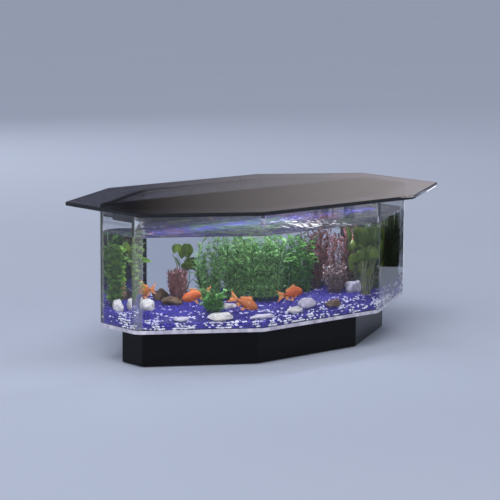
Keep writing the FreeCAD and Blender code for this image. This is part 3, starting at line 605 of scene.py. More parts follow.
def ring(bm, inset, radius, level):
    """Draw the outline as a closed loop of edges and give them."""
    corners = [Vector((x, y, level)) for x, y in octagon(inset)]
    arcs = []
    for before, corner, after in zip(corners[-1:] + corners, corners, corners[1:] + corners):
        way_in, way_out = (corner - before).normalized(), (after - corner).normalized()
        turn = way_in.angle(way_out)
        start = corner - way_in * radius * math.tan(turn / 2)
        centre = start + Vector((-way_in.y, way_in.x, 0.0)) * radius
        known = len(bm.verts)
        bmesh.ops.spin(bm, geom=[bm.verts.new(start)], cent=centre, axis=(0, 0, 1),
                       angle=turn, steps=BEND_STEPS)
        bm.verts.ensure_lookup_table()
        arcs.append(bm.verts[known:])
    for arc, following in zip(arcs, arcs[1:] + arcs[:1]):
        bm.edges.new((arc[-1], following[0]))
    return list(dict.fromkeys(edge for arc in arcs for vert in arc for edge in vert.link_edges))


def bridge(bm, first, second, material=0):
    """Join two rings with a band of faces."""
    for face in bmesh.ops.bridge_loops(bm, edges=first + second)["faces"]:
        face.material_index = material


def cap(bm, loop, material=0):
    """Close a ring with one face."""
    for face in bmesh.ops.edgeloop_fill(bm, edges=loop)["faces"]:
        face.material_index = material


def soften(bm, edges, material=-1):
    """Take the sharpness off some edges, and turn all faces outwards."""
    bmesh.ops.bevel(bm, geom=edges, offset=0.0008, segments=2, affect="EDGES", profile=0.5,
                    material=material)
    bmesh.ops.recalc_face_normals(bm, faces=bm.faces)


print("rings have", BEND_STEPS, "steps to a corner")

# %% Finished pieces


def make_piece(bm, name, finishes, replaced=(), slot=None, smooth=True):
    """Turn a finished bmesh into a piece that rides on the tank, as all new pieces do."""
    piece = object_from(bm, name, [FINISHES[each] for each in finishes])
    faces = piece.data.polygons
    faces.foreach_set("use_smooth", [smooth] * len(faces))
    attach(piece, "tank")
    if replaced:
        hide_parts(*replaced)
    print(name, len(faces), "faces")
    return piece


def keep_flats_flat(piece):
    """Let the large flat faces decide the shading where they meet a bend."""
    even = piece.modifiers.new("even_normals", "WEIGHTED_NORMAL")
    even.mode, even.weight, even.keep_sharp = "FACE_AREA", 100, True


# %% [markdown]
# The wall stops a hair above the floor plate, because two faces in one place flicker. Its faces
# are sorted as they are made: dry, wet, and the milky bends at the tank's two ends, which are
# told from other faces by their size.

# %% Wall and flange
WATER_LEVEL, SEAM = 0.355, 0.0002
OUTER_BEND, INNER_BEND, FLANGE_BEND = 0.032, 0.024, 0.012
WALL_THICKNESS, FLANGE_WIDTH = 0.008, 0.025
WET_BAND = 5
BEND_FACE_LEAST, BEND_FACE_MOST, END_BENDS = 0.0004, 0.006, 0.4
bm = bmesh.new()
rings = [ring(bm, inset, radius, level) for inset, radius, level in (
    (0.0, OUTER_BEND, wall_low.z + SEAM), (0.0, OUTER_BEND, rim_high.z),
    (FLANGE_WIDTH, FLANGE_BEND, rim_high.z), (FLANGE_WIDTH, FLANGE_BEND, rim_low.z),
    (WALL_THICKNESS, INNER_BEND, rim_low.z), (WALL_THICKNESS, INNER_BEND, WATER_LEVEL),
    (WALL_THICKNESS, INNER_BEND, wall_low.z + SEAM))]
for first, second in zip(rings, rings[1:] + rings[:1]):
    bridge(bm, first, second, 1 if first is rings[WET_BAND] else 0)
soften(bm, rings[0] + rings[1] + rings[2] + rings[3])
for face in bm.faces:
    at_end = abs(face.calc_center_median().x) > END_BENDS and abs(face.normal.z) < 0.5
    if at_end and BEND_FACE_LEAST < face.calc_area() < BEND_FACE_MOST:
        face.material_index = 2
shell = make_piece(bm, "acrylic_shell", ["clear_acrylic", "wet_acrylic", "bent_acrylic"],
                   replaced=["tank_wall", "rim_flange"], slot="clear_acrylic")
keep_flats_flat(shell)

# %% [markdown]
# The floor plate is a separate sheet under the wall, cut to the same outline. The light its
# polished edge gathers is painted on as a pale line right round the bottom of the tank, a painted
# highlight that glows a little, so the edge gets a finish of its own. The CAD plate is right in
# size, but all its faces share one finish.

# %% Floor plate
bm = bmesh.new()
low_ring = ring(bm, 0.0, OUTER_BEND, plate_low.z + SEAM)
high_ring = ring(bm, 0.0, OUTER_BEND, plate_high.z)
bridge(bm, low_ring, high_ring, 1)
cap(bm, low_ring)
cap(bm, high_ring)
soften(bm, low_ring + high_ring, 1)
plate = make_piece(bm, "floor_plate", ["clear_acrylic", "plate_edge"],
                   replaced=["tank_floor"], slot="clear_acrylic")
keep_flats_flat(plate)

# %% [markdown]
# ## Water
# The water fills three quarters of the height between gravel and rim. Where it meets the acrylic
# it climbs by two millimetres, and that thin slope catches the lamps as a bright line. It is one
# closed body a quarter of a millimetre inside the wall: water that shared the wall's faces would
# leave the shader to guess which of the two a ray is in.

# %% Water
WATER_GAP = 0.00025
CLIMB = ((0.0, 0.0020), (0.0010, 0.0009), (0.0028, 0.0003), (0.0060, 0.0))
bm = bmesh.new()
water_skin = WALL_THICKNESS + WATER_GAP
water_rings = [ring(bm, water_skin, INNER_BEND - WATER_GAP, plate_high.z + 2 * SEAM)]
water_rings += [ring(bm, water_skin + inset, INNER_BEND - WATER_GAP - inset, WATER_LEVEL + climb)
                for inset, climb in CLIMB]
bridge(bm, water_rings[0], water_rings[1], 1)
for first, second in zip(water_rings[1:], water_rings[2:]):
    bridge(bm, first, second)
cap(bm, water_rings[0], 1)
cap(bm, water_rings[-1])
bmesh.ops.recalc_face_normals(bm, faces=bm.faces)
water = make_piece(bm, "water", ["water_surface", "water_side"])
keep_flats_flat(water)

# %% [markdown]
# ## Gravel
# Real gravel is thousands of small stones. A few lumpy pebbles, each a rough ball of twenty faces
# moved by noise, are stamped over a solid core in close rows: over the top, and down the wall,
# where they are seen through the acrylic. Most are blue or violet, and white chips are scattered
# among them, thickest along the front. The pebbles on top get darker tones than those down the
# wall, which is painted shade, and the core is painted dark as the shade in the gaps. A scatter of
# instances would do it in fewer lines, but the pebbles have to be real meshes to leave this file.

# %% Stamping small shapes


def stamp_shape(bm, name):
    """Keep a small shape as a mesh whose copies can each carry their own tone."""
    mesh = bpy.data.meshes.new(name)
    bm.to_mesh(mesh)
    bm.free()
    mesh.attributes.new("tone", "FLOAT", "POINT")
    mesh.polygons.foreach_set("use_smooth", [True] * len(mesh.polygons))
    return mesh


def stamp(bm, shape, place, tone, material=0, move=None):
    """Add a copy of a small shape: moved by a matrix, or bent by a function of its points."""
    copy = shape.copy()
    copy.transform(place)
    if move is not None:
        for vert in copy.vertices:
            vert.co = move(vert.co)
    copy.attributes["tone"].data.foreach_set("value", [tone] * len(copy.vertices))
    copy.polygons.foreach_set("material_index", [material] * len(copy.polygons))
    bm.from_mesh(copy)
    bpy.data.meshes.remove(copy)


def lump(name, subdivisions, roughness, seed):
    """A ball one unit across, made uneven by noise."""
    bm = bmesh.new()
    bmesh.ops.create_icosphere(bm, subdivisions=subdivisions, radius=0.5)
    for vert in bm.verts:
        vert.co *= 1.0 + roughness * noise.noise(vert.co * 2.3 + Vector((seed, 0.0, 0.0)))
    return stamp_shape(bm, name)


def turned(place, size, dice, lean):
    """A place, a random turn and lean, and a size along each axis."""
    spin = Matrix.Rotation(dice.uniform(-math.pi, math.pi), 4, "Z")
    tip = Matrix.Rotation(dice.uniform(-lean, lean), 4, "X")
    return Matrix.Translation(place) @ spin @ tip @ Matrix.Diagonal((*size, 1.0))


print("small shapes can be stamped, each with a tone of its own")

# %% Gravel finish


def pebbles_finish(name, deep, pale, gloss):
    """Dyed stones, each between two shades by its own tone, with fine flecks; on top of the bed the tone
    also carries painted shade.
    """
    made, desk = new_material(name)
    fleck = noise_of(desk, 700.0, 2.0)
    shade = blend(tone_of(desk) * 0.85 + 0.3 * fleck - 0.1, deep, pale)
    return finish(made, desk, shade, gloss + 0.2 * fleck, bump_of(fleck, 0.3))


def core_finish():
    """The core that shows in the gaps between the pebbles, painted dark as painted shade in the gaps."""
    made, desk = new_material("gravel_core")
    grain = cells_of(desk, 170.0)
    # painted shade: the core is darker than the darkest pebble, standing in for the shade between
    # pebbles
    shade = blend(grain * 1.3, rgb(0.010, 0.008, 0.07), rgb(0.05, 0.04, 0.26))
    return finish(made, desk, shade, 0.8, bump_of(grain, 0.8, 0.002))


FINISHES |= {name: pebbles_finish(name, *look) for name, look in {
    "blue_pebbles": (rgb(0.016, 0.010, 0.20), rgb(0.085, 0.055, 0.62), 0.35),
    "white_pebbles": (rgb(0.62, 0.62, 0.80), rgb(0.95, 0.95, 1.0), 0.4)}.items()}
FINISHES["gravel_core"] = core_finish()
print("gravel finishes:", [name for name in FINISHES if "pebbles" in name or "gravel" in name])

# %% [markdown]
# The bed is level in the middle and falls away towards the front walls, as loose gravel does. A
# formula gives its height at any point, and everything that lies or stands on the bed asks it.

# %% The bed's slope
gravel_low, gravel_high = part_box("gravel_bed")
SLOPE_FALL, SLOPE_WIDTH, SLOPE_START = 0.020, 0.070, 0.10


def inside(x, y, inset):
    """How far a point is from the nearest side of the outline, set in: above 0 inside it."""
    point = Vector((x, y, 0.0))
    return min((end - start).normalized().cross(point - start).z for start, end in sides(inset))


def bed_level(x, y):
    """Height of the gravel, which falls away towards the front walls."""
    front = min(max(-y / SLOPE_START, 0.0), 1.0)
    near = 1.0 - min(max(inside(x, y, WALL_THICKNESS) / SLOPE_WIDTH, 0.0), 1.0)
    return gravel_high.z - SLOPE_FALL * front * near * near * (3.0 - 2.0 * near)


print("bed level at the middle and the front wall:", bed_level(0.0, 0.0), bed_level(0.0, -0.25))

# %% Core
CORE_INSET, CORE_SINK = 0.0125, 0.0035
CORE_BEND = INNER_BEND - 0.0045
bm = bmesh.new()
core_rings = [ring(bm, CORE_INSET, CORE_BEND, gravel_low.z + 3 * SEAM)]
core_rings += [ring(bm, CORE_INSET + step, CORE_BEND, gravel_high.z)
               for step in (0.0, 0.02, 0.04, 0.07)]
for vert in bm.verts:
    if vert.co.z > gravel_low.z + CORE_SINK:
        vert.co.z = bed_level(vert.co.x, vert.co.y) - CORE_SINK
for first, second in zip(core_rings, core_rings[1:]):
    bridge(bm, first, second)
cap(bm, core_rings[0])
cap(bm, core_rings[-1])
bmesh.ops.recalc_face_normals(bm, faces=bm.faces)
make_piece(bm, "gravel_core", ["gravel_core"], replaced=["gravel_bed"], slot="blue_gravel",
           smooth=False)

# %% Where pebbles go
PEBBLE_PITCH, PEBBLE_SIZE = 0.0062, 0.0068


def top_spots(dice):
    """Jittered rows over the whole bed."""
    rows = int(wall_high.y / PEBBLE_PITCH)
    columns = int(wall_high.x / PEBBLE_PITCH)
    for row in range(-rows, rows + 1):
        for column in range(-columns, columns + 1):
            x = (column + 0.5 * (row % 2) + dice.uniform(-0.3, 0.3)) * PEBBLE_PITCH
            y = (row + dice.uniform(-0.3, 0.3)) * PEBBLE_PITCH
            gap = inside(x, y, WALL_THICKNESS + PEBBLE_SIZE * 0.6)
            if gap > 0.0:
                yield Vector((x, y, bed_level(x, y) - 0.003 + dice.uniform(0.0, 0.0015))), gap


def side_spots(dice):
    """Rows of pebbles against the inside of the wall."""
    levels = int((gravel_high.z - gravel_low.z) / PEBBLE_PITCH)
    for start, end in sides(WALL_THICKNESS + PEBBLE_SIZE * 0.52):
        steps = int((end - start).length / PEBBLE_PITCH)
        for step in range(steps + 1):
            for level in range(levels):
                share = (step + 0.5 * (level % 2) + dice.uniform(-0.25, 0.25)) / steps
                spot = start.lerp(end, min(max(share, 0.012), 0.988))
                spot.z = gravel_low.z + (level + 0.55 + dice.uniform(-0.2, 0.2)) * PEBBLE_PITCH
                if spot.z < bed_level(spot.x, spot.y) - 0.002:
                    yield spot, 0.0


print("pebbles every", PEBBLE_PITCH, "m")

# %% Pebbles
CHIP_SIZE, CHIP_SLIMNESS = 1.95, 0.55
CHIP_LEAST, CHIP_MOST, CHIP_REACH, CHIP_BEHIND = 0.010, 0.52, 0.040, 0.12


def lay_gravel():
    """Stamp all pebbles: blue in three pieces, west, east and along the wall, and white chips."""
    dice = random.Random(4)
    pebbles = [lump(f"pebble_{seed}", 1, 0.8, 7.0 * seed) for seed in range(6)]
    beds = {name: bmesh.new() for name in ("blue_west", "blue_east", "blue_wall", "white_chips")}
    top = [(spot, gap, "blue_west" if spot.x < 0.0 else "blue_east")
           for spot, gap in top_spots(dice)]
    wall = [(spot, gap, "blue_wall") for spot, gap in side_spots(dice)]
    for spot, gap, bed in top + wall:
        nearness = math.exp(-gap / CHIP_REACH) if spot.y < 0.0 else CHIP_BEHIND
        patch = max(0.0, noise.noise(spot * 30.0) * 2.0 + 0.7)
        white = dice.random() < CHIP_LEAST + CHIP_MOST * nearness * patch
        size = PEBBLE_SIZE * dice.uniform(0.75, 1.15) * (CHIP_SIZE if white else 1.0)
        slim = CHIP_SLIMNESS if white else 1.0
        shape = (size, size * slim * dice.uniform(0.7, 1.0), size * slim * dice.uniform(0.55, 0.85))
        lean = 0.5 if bed != "blue_wall" else 0.15
        # painted shade: pebbles on top get darker tones than those down the wall
        tone = dice.uniform(0.3, 1.0) if bed == "blue_wall" else dice.uniform(0.0, 0.5)
        stamp(beds["white_chips" if white else bed], dice.choice(pebbles),
              turned(spot, shape, dice, lean), tone)
    for name, bm in beds.items():
        colour = "white_pebbles" if name == "white_chips" else "blue_pebbles"
        make_piece(bm, f"gravel_{name}", [colour], slot="blue_gravel", smooth=False)


lay_gravel()

# %% [markdown]
# ## Stones
# The CAD model stands a flat-bottomed lump in each stone's place. Its own solids are read back to
# learn where each stone lies and how large it is, and a rough ball, made uneven by noise, takes
# that place. It sinks a little into the gravel, as real stones do.

# %% Places of separate solids


def solids(node):
    """Lowest and highest corner of each separate solid of a CAD node, from left to right."""
    bm = bmesh.new()
    bm.from_mesh(nodes[node].data)
    bmesh.ops.remove_doubles(bm, verts=bm.verts, dist=1e-5)
    loose, found = set(bm.verts), []
    while loose:
        waiting, island = [loose.pop()], []
        while waiting:
            vert = waiting.pop()
            island.append(vert.co.copy())
            near = {edge.other_vert(vert) for edge in vert.link_edges} & loose
            loose -= near
            waiting.extend(near)
        found.append((Vector(map(min, *island)), Vector(map(max, *island))))
    bm.free()
    return sorted(found, key=lambda corners: corners[0].x)


print("white stones:", len(solids("white_stones")))

# %% Stone finish


def stone_finish(name, dark, pale, vein, gloss):
    """Water-worn stone: cloudy colour, thin veins and pits."""
    made, desk = new_material(name)
    cloud = noise_of(desk, 70.0, 4.0)
    pits = noise_of(desk, 420.0, 3.0)
    band = 1 - abs(noise_of(desk, 45.0, 2.0, (1.0, 1.0, 3.0)) - 0.5) * 16
    shade = blend(band * 0.6, blend(cloud * 1.6 - 0.3, dark, pale), vein)
    return finish(made, desk, shade, gloss + 0.25 * pits,
                  bump_of(cloud * 0.6 + 0.4 * pits, 0.5, 0.0015))


STONE_LOOKS = {
    "white_stone": (rgb(0.52, 0.50, 0.50), rgb(0.90, 0.88, 0.86), rgb(0.45, 0.42, 0.40), 0.35),
    "brown_stone": (rgb(0.035, 0.020, 0.012), rgb(0.17, 0.085, 0.04), rgb(0.24, 0.17, 0.11), 0.3),
    "pale_stone": (rgb(0.36, 0.33, 0.44), rgb(0.72, 0.69, 0.80), rgb(0.50, 0.45, 0.55), 0.4),
}
FINISHES |= {name: stone_finish(name, *look) for name, look in STONE_LOOKS.items()}
print("stone finishes:", *STONE_LOOKS)

# %% Stones
STONE_SINK, STONE_LIFT = 0.12, 0.38


def lay_stones():
    """One rough ball for each solid of the three stone nodes."""
    dice = random.Random(11)
    for stone in STONE_LOOKS:
        bm = bmesh.new()
        for index, (low, high) in enumerate(solids(f"{stone}s")):
            size = high - low
            ball = lump(f"{stone}s_{index}", 4, 0.42, 3.0 * index + dice.random())
            x, y = (low.x + high.x) / 2, (low.y + high.y) / 2
            place = Vector((x, y, bed_level(x, y) + size.z * STONE_LIFT))
            shape = Matrix.Diagonal((size.x * 0.98, size.y * 0.98, size.z * (1.24 + STONE_SINK), 1))
            stamp(bm, ball, Matrix.Translation(place) @ shape, dice.random())
        make_piece(bm, f"{stone}_set", [stone], replaced=[f"{stone}s"], slot=stone)


lay_stones()

# %% [markdown]
# ## Plastic plants
# Aquarium plants are moulded leaves clipped on thin stalks. One leaf shape is cut from a grid,
# narrowed along its length, folded on its rib and given a thickness. Stalks start as a tapered
# cone, cut across so that it can bend. Each plant is a crown of bent stalks with leaves stamped
# round them, and its height and reach are those of the CAD stand-in. Hair particles could grow
# the same crowns, but they would have to be made into meshes in the end.

# %% Leaf and stalk shapes
LEAF_SKIN = 0.014


def leaf_shape(name, widths, fold=0.25, droop=0.25, notch=0.0, columns=2):
    """A leaf one unit long that narrows to the widths along it, folded and drooping."""
    bm = bmesh.new()
    bm.loops.layers.uv.new("UVMap")
    rows = len(widths) - 1
    bmesh.ops.create_grid(bm, x_segments=columns, y_segments=rows, size=0.5, calc_uvs=True)
    for vert in bm.verts:
        along = vert.co.y + 0.5
        side = vert.co.x * widths[round(along * rows)]
        back = notch * (1.0 - abs(vert.co.x) * 2.0) * (1.0 - along)
        vert.co = (side, along + back, fold * abs(side) - droop * along * along)
    bmesh.ops.solidify(bm, geom=bm.faces[:], thickness=LEAF_SKIN)
    bmesh.ops.recalc_face_normals(bm, faces=bm.faces)
    return stamp_shape(bm, name)


def stalk_shape(name, corners, cuts):
    """A tapered stalk one unit high, cut across so that it can bend."""
    bm = bmesh.new()
    bm.loops.layers.uv.new("UVMap")
    bmesh.ops.create_cone(bm, cap_ends=True, segments=corners, radius1=1.0, radius2=0.5, depth=1.0)
    bmesh.ops.translate(bm, verts=bm.verts, vec=(0.0, 0.0, 0.5))
    upright = [edge for edge in bm.edges if abs(edge.verts[0].co.z - edge.verts[1].co.z) > 0.5]
    bmesh.ops.subdivide_edges(bm, edges=upright, cuts=cuts)
    return stamp_shape(bm, name)


STALK = stalk_shape("stalk", 5, 5)
NARROW = leaf_shape("narrow_leaf", (0.05, 0.26, 0.24, 0.04), columns=1)
OVAL = leaf_shape("oval_leaf", (0.08, 0.46, 0.58, 0.40, 0.05))
BROAD = leaf_shape("broad_leaf", (0.15, 0.66, 0.92, 0.88, 0.56, 0.10), 0.15, 0.25)
PAD = leaf_shape("pad_leaf", (0.55, 0.92, 1.04, 0.92, 0.50), 0.12, 0.12, 0.25)
BLADE = leaf_shape("blade_leaf", (0.05, 0.13, 0.15, 0.13, 0.09, 0.02), 0.2, 0.45)
SPRIG = leaf_shape("sprig_leaf", (0.10, 0.30, 0.18, 0.03), 0.1, -0.1, columns=1)
print("faces of one leaf:", [len(leaf.polygons) for leaf in (NARROW, OVAL, BROAD, PAD, BLADE, SPRIG)])

# %% [markdown]
# Moulded leaves are dyed through: one is paler than the next, and the rib is paler than the leaf.
# The fern's near-white rib and its palest leaves are partly painted highlight as well.
# The tone is stamped on each leaf, and the rib follows the leaf's own UV map, because an object
# coordinate doesn't know where a leaf begins.

# %% Leaf finish
LEAF_GLOSS = 0.38


def leaf_finish(name, dark, pale, rib):
    """Moulded leaf: a tone of its own, cloudy patches and a pale rib along the middle."""
    made, desk = new_material(name)
    cloud = noise_of(desk, 55.0, 2.0)
    across = desk.node("SeparateXYZ", {}, {0: desk.node("UVMap")}, "X")
    middle = 1 - abs(across - 0.5) * 12
    shade = blend(middle * 0.55, blend(tone_of(desk) * 0.8 + cloud * 0.6 - 0.2, dark, pale), rib)
    return finish(made, desk, shade, LEAF_GLOSS + 0.2 * cloud,
                  bump_of(middle * 0.5 + cloud, 0.25))


LEAF_TINTS = {
    "broad_green_leaf": ((0.02, 0.07, 0.006), (0.22, 0.46, 0.04), (0.30, 0.50, 0.10)),
    "lily_green_leaf": ((0.03, 0.07, 0.006), (0.16, 0.25, 0.02), (0.20, 0.28, 0.06)),
    "coral_pink_leaf": ((0.15, 0.05, 0.05), (0.42, 0.20, 0.18), (0.54, 0.36, 0.32)),
    # fern: the near-white rib and the wide span to pale leaves are partly dye and partly painted
    # highlight
    "fern_green_leaf": ((0.03, 0.11, 0.02), (0.42, 0.84, 0.28), (0.80, 0.95, 0.66)),
    "bush_green_leaf": ((0.025, 0.14, 0.015), (0.17, 0.50, 0.08), (0.34, 0.60, 0.24)),
    "red_leaf": ((0.08, 0.025, 0.035), (0.36, 0.10, 0.09), (0.36, 0.20, 0.19)),
    "beige_leaf": ((0.12, 0.04, 0.06), (0.62, 0.48, 0.46), (0.74, 0.64, 0.62)),
    "end_weed_leaf": ((0.010, 0.020, 0.006), (0.06, 0.10, 0.03), (0.16, 0.20, 0.08)),
    "green_stalk": ((0.02, 0.06, 0.01), (0.10, 0.20, 0.04), (0.10, 0.20, 0.04)),
    "pale_stalk": ((0.03, 0.05, 0.015), (0.42, 0.44, 0.26), (0.42, 0.44, 0.26)),
    "red_stalk": ((0.14, 0.07, 0.07), (0.34, 0.20, 0.19), (0.34, 0.20, 0.19)),
}
FINISHES |= {name: leaf_finish(name, *(rgb(*tint) for tint in tints))
             for name, tints in LEAF_TINTS.items()}
print("leaf finishes:", len(LEAF_TINTS))

# %% [markdown]
# Each kind of plant is one row: its leaf and finishes, how many stalks it has and leaves on each,
# the leaf's length in metres, where along the stalk the leaves start, how steeply they rise, and
# how far its crown spreads beside the stand-in. A table keeps the ten kinds easy to compare.

# %% The kinds of plants
Plant = namedtuple("Plant", "piece leaf leaf_tint stalk_tint stalks leaves length start rise spread")
PLANTS = {
    "broad_leaf_plant": Plant("broad_leaves", BROAD, "broad_green_leaf", "green_stalk",
                              34, 11, 0.026, 0.12, 30, 1.35),
    "lily_plant_left": Plant("lily_leaves_left", PAD, "lily_green_leaf", "green_stalk",
                             9, 1, 0.036, 1.0, 70, 1.5),
    "lily_plant_right": Plant("lily_leaves_right", PAD, "lily_green_leaf", "pale_stalk",
                              34, 1, 0.042, 1.0, 72, 1.8),
    "pink_coral_plant": Plant("coral_sprigs", SPRIG, "coral_pink_leaf", "coral_pink_leaf",
                              60, 20, 0.013, 0.15, 50, 1.3),
    "low_green_plant": Plant("low_green_clump", OVAL, "bush_green_leaf", "green_stalk",
                             30, 10, 0.017, 0.1, 30, 1.5),
    "fern_plants": Plant("fern_fronds", NARROW, "fern_green_leaf", "green_stalk",
                         20, 30, 0.026, 0.06, 38, 1.9),
    "bush_plants": Plant("bush_leaves", OVAL, "bush_green_leaf", "green_stalk",
                         20, 24, 0.020, 0.06, 22, 1.9),
    "red_stem_plants": Plant("red_stem_leaves", NARROW, "red_leaf", "red_stalk",
                             34, 24, 0.017, 0.10, 45, 2.4),
    "beige_plant": Plant("beige_bush", OVAL, "beige_leaf", "red_stalk",
                         34, 14, 0.012, 0.12, 35, 1.5),
    "end_weed_plants": Plant("end_weed", BLADE, "end_weed_leaf", "green_stalk",
                             30, 16, 0.050, 0.02, 52, 2.0),
}
print("kinds of plants:", len(PLANTS))

# %% [markdown]
# A real stalk stands upright at its root and leans out as it rises, so its line is a power curve
# with a little sway. The crowns are fuller than the stand-ins, and those beside the wall would
# pass through it. Each of the eight sides presses back what is beyond it, as real acrylic does.
# The press takes back a little less than all of it, so the pressed leaves aren't in one plane.

# %% A stalk's line and the wall's press
LEAF_GAP, PRESS = 0.003, 0.98


def stalk_line(root, top, sway):
    """Give a function for the points along a stalk, from root at 0 to top at 1."""
    lean = top - root

    def point(share):
        out = share ** 1.7
        aside = sway * math.sin(share * math.pi)
        return root + Vector((lean.x * out, lean.y * out, lean.z * share)) + aside

    return point


def hold_inside(bm):
    """Press whatever would pass through the tank's wall back inside it."""
    for start, end in sides(WALL_THICKNESS + LEAF_GAP):
        along = (end - start).normalized()
        outward = Vector((along.y, -along.x, 0.0))
        limit = start.dot(outward)
        for vert in bm.verts:
            beyond = vert.co.dot(outward) - limit
            if beyond > 0.0:
                vert.co -= outward * beyond * PRESS


print("a stalk's middle:", stalk_line(Vector(), Vector((0.1, 0.0, 0.2)), Vector())(0.5)[:])

# %% [markdown]
# From above, a crown is round. Each stalk turns on from the last by the golden angle, and its top
# leans out by the square root of its number, which fills a circle as evenly as seeds fill a
# sunflower's head. The leaves are stamped along the stalks. Particle hair could scatter them too,
# but they would be no part of the mesh, and the wall couldn't press them.

# %% Growing the plants
GOLDEN_TURN, CROWN_FALL, ROOT_SINK, SWAY = math.radians(137.5), 0.12, 0.002, 0.25
# Girth in metres, the foot's share of the top's way out, and the least and greatest height
BUSHY, LILY = (0.0009, 0.5, (0.57, 0.98)), (0.0013, 0.25, (0.20, 0.94))
LEAF_SIZES, LILY_TURN, TILT_SPREAD, ROLL_SPREAD = (0.75, 1.15), 0.9, 22, 0.4


def grow(node, plant):
    """Fill each stand-in of a CAD node with stalks and leaves."""
    lily, leaves, length = plant.leaves == 1, plant.leaves, plant.length
    girth, foot_share, heights = LILY if lily else BUSHY
    dice = random.Random(plant.piece)
    bm = bmesh.new()
    for low, high in solids(node):
        root = Vector(((low.x + high.x) / 2, (low.y + high.y) / 2, low.z - ROOT_SINK))
        reach, tall = plant.spread * (high.x - low.x) / 2, high.z - low.z
        for index in range(plant.stalks):
            way = index * GOLDEN_TURN + dice.uniform(-0.3, 0.3)
            out = (reach - length * 0.35) * math.sqrt((index + 0.5) / plant.stalks)
            up = tall * dice.uniform(*heights)
            up *= 1.0 - CROWN_FALL * (out / reach) ** 2
            foot = root + Vector((math.cos(way), math.sin(way), 0.0)) * foot_share * out
            top = root + Vector((math.cos(way) * out, math.sin(way) * out, up))
            sway = Vector((dice.uniform(-1, 1), dice.uniform(-1, 1), 0.0)) * reach * SWAY
            line = stalk_line(foot, top, sway)
            stamp(bm, STALK, Matrix.Identity(4), dice.random(), 1,
                  lambda co: line(co.z) + Vector((co.x, co.y, 0.0)) * girth)
            for step in range(leaves):
                share = 1.0 if lily else (plant.start + (1.0 - plant.start)
                                          * (step + dice.random()) / leaves)
                size = length * dice.uniform(*LEAF_SIZES)
                turn = (way + dice.uniform(-LILY_TURN, LILY_TURN) if lily
                        else dice.uniform(0.0, math.tau))
                tilt = math.radians(plant.rise + dice.uniform(-TILT_SPREAD, TILT_SPREAD))
                roll = dice.uniform(-ROLL_SPREAD, ROLL_SPREAD)
                place = (Matrix.Translation(line(share))
                         @ Matrix.Rotation(turn - math.pi / 2, 4, "Z")
                         @ Matrix.Rotation(tilt, 4, "X") @ Matrix.Rotation(roll, 4, "Y")
                         @ Matrix.Diagonal((size, size, size, 1.0)))
                stamp(bm, plant.leaf, place, dice.random())
    hold_inside(bm)
    make_piece(bm, plant.piece, [plant.leaf_tint, plant.stalk_tint], replaced=[node],
               slot=slot_of[node])


for node, plant in PLANTS.items():
    grow(node, plant)

# %% [markdown]
# ## Goldfish
# A goldfish is a plump spindle that narrows to the root of its tail, with thin fins. The body is a
# ball squeezed by a formula, and the fins are grids stretched between a root line and a tip line.
# Sculpting would give each fish a face of its own, but at this size only the outline, the colour
# and the heading tell, so all four share one body and one set of fins.

# %% Goldfish shapes
FISH_LENGTH, FISH_WIDTH, FISH_DEPTH = 0.064, 0.31, 0.46
FISH_HEADINGS = ((192, 4, 0.9), (150, 14, 0.2), (-35, 26, 0.75), (-15, -5, 0.1))
TAIL_OFFSET, FIN_SKIN = 0.0098, 0.012


def fish_body():
    """A spindle one unit long with its nose towards X."""
    bm = bmesh.new()
    bmesh.ops.create_uvsphere(bm, u_segments=24, v_segments=16, radius=0.5)
    bmesh.ops.rotate(bm, cent=(0, 0, 0), matrix=Matrix.Rotation(math.pi / 2, 3, "Y"), verts=bm.verts)
    for vert in bm.verts:
        back = max(0.0, 0.16 - vert.co.x) * 1.5
        narrow = 1.0 - 0.72 * min(back, 1.0) ** 1.25
        arch = 0.03 * math.cos(vert.co.x * math.pi)
        vert.co.y *= FISH_WIDTH * narrow
        vert.co.z = vert.co.z * FISH_DEPTH * (narrow + 0.05) + arch
    bmesh.ops.recalc_face_normals(bm, faces=bm.faces)
    return stamp_shape(bm, "fish_body")


def eye_ball():
    """A small ball, for the iris and for the pupil that stands out of it."""
    bm = bmesh.new()
    bmesh.ops.create_uvsphere(bm, u_segments=14, v_segments=10, radius=0.5)
    return stamp_shape(bm, "fish_eye")


def fin(bm, root, tip, ripple=0.02):
    """A thin fin between a root line and a tip line, each given as its two ends."""
    known = len(bm.verts)
    bmesh.ops.create_grid(bm, x_segments=8, y_segments=4, size=0.5, calc_uvs=True)
    bm.verts.ensure_lookup_table()
    sheet = bm.verts[known:]
    (root_start, root_end), (tip_start, tip_end) = (map(Vector, root), map(Vector, tip))
    for vert in sheet:
        across, out = vert.co.x + 0.5, vert.co.y + 0.5
        fringe = 1.0 - 0.10 * out * (across * 8 % 2)
        spot = root_start.lerp(root_end, across).lerp(tip_start.lerp(tip_end, across), out * fringe)
        vert.co = spot + Vector((0.0, ripple * out * math.sin(across * 9.0), 0.0))
    faces = list(dict.fromkeys(face for vert in sheet for face in vert.link_faces))
    bmesh.ops.solidify(bm, geom=faces, thickness=FIN_SKIN)


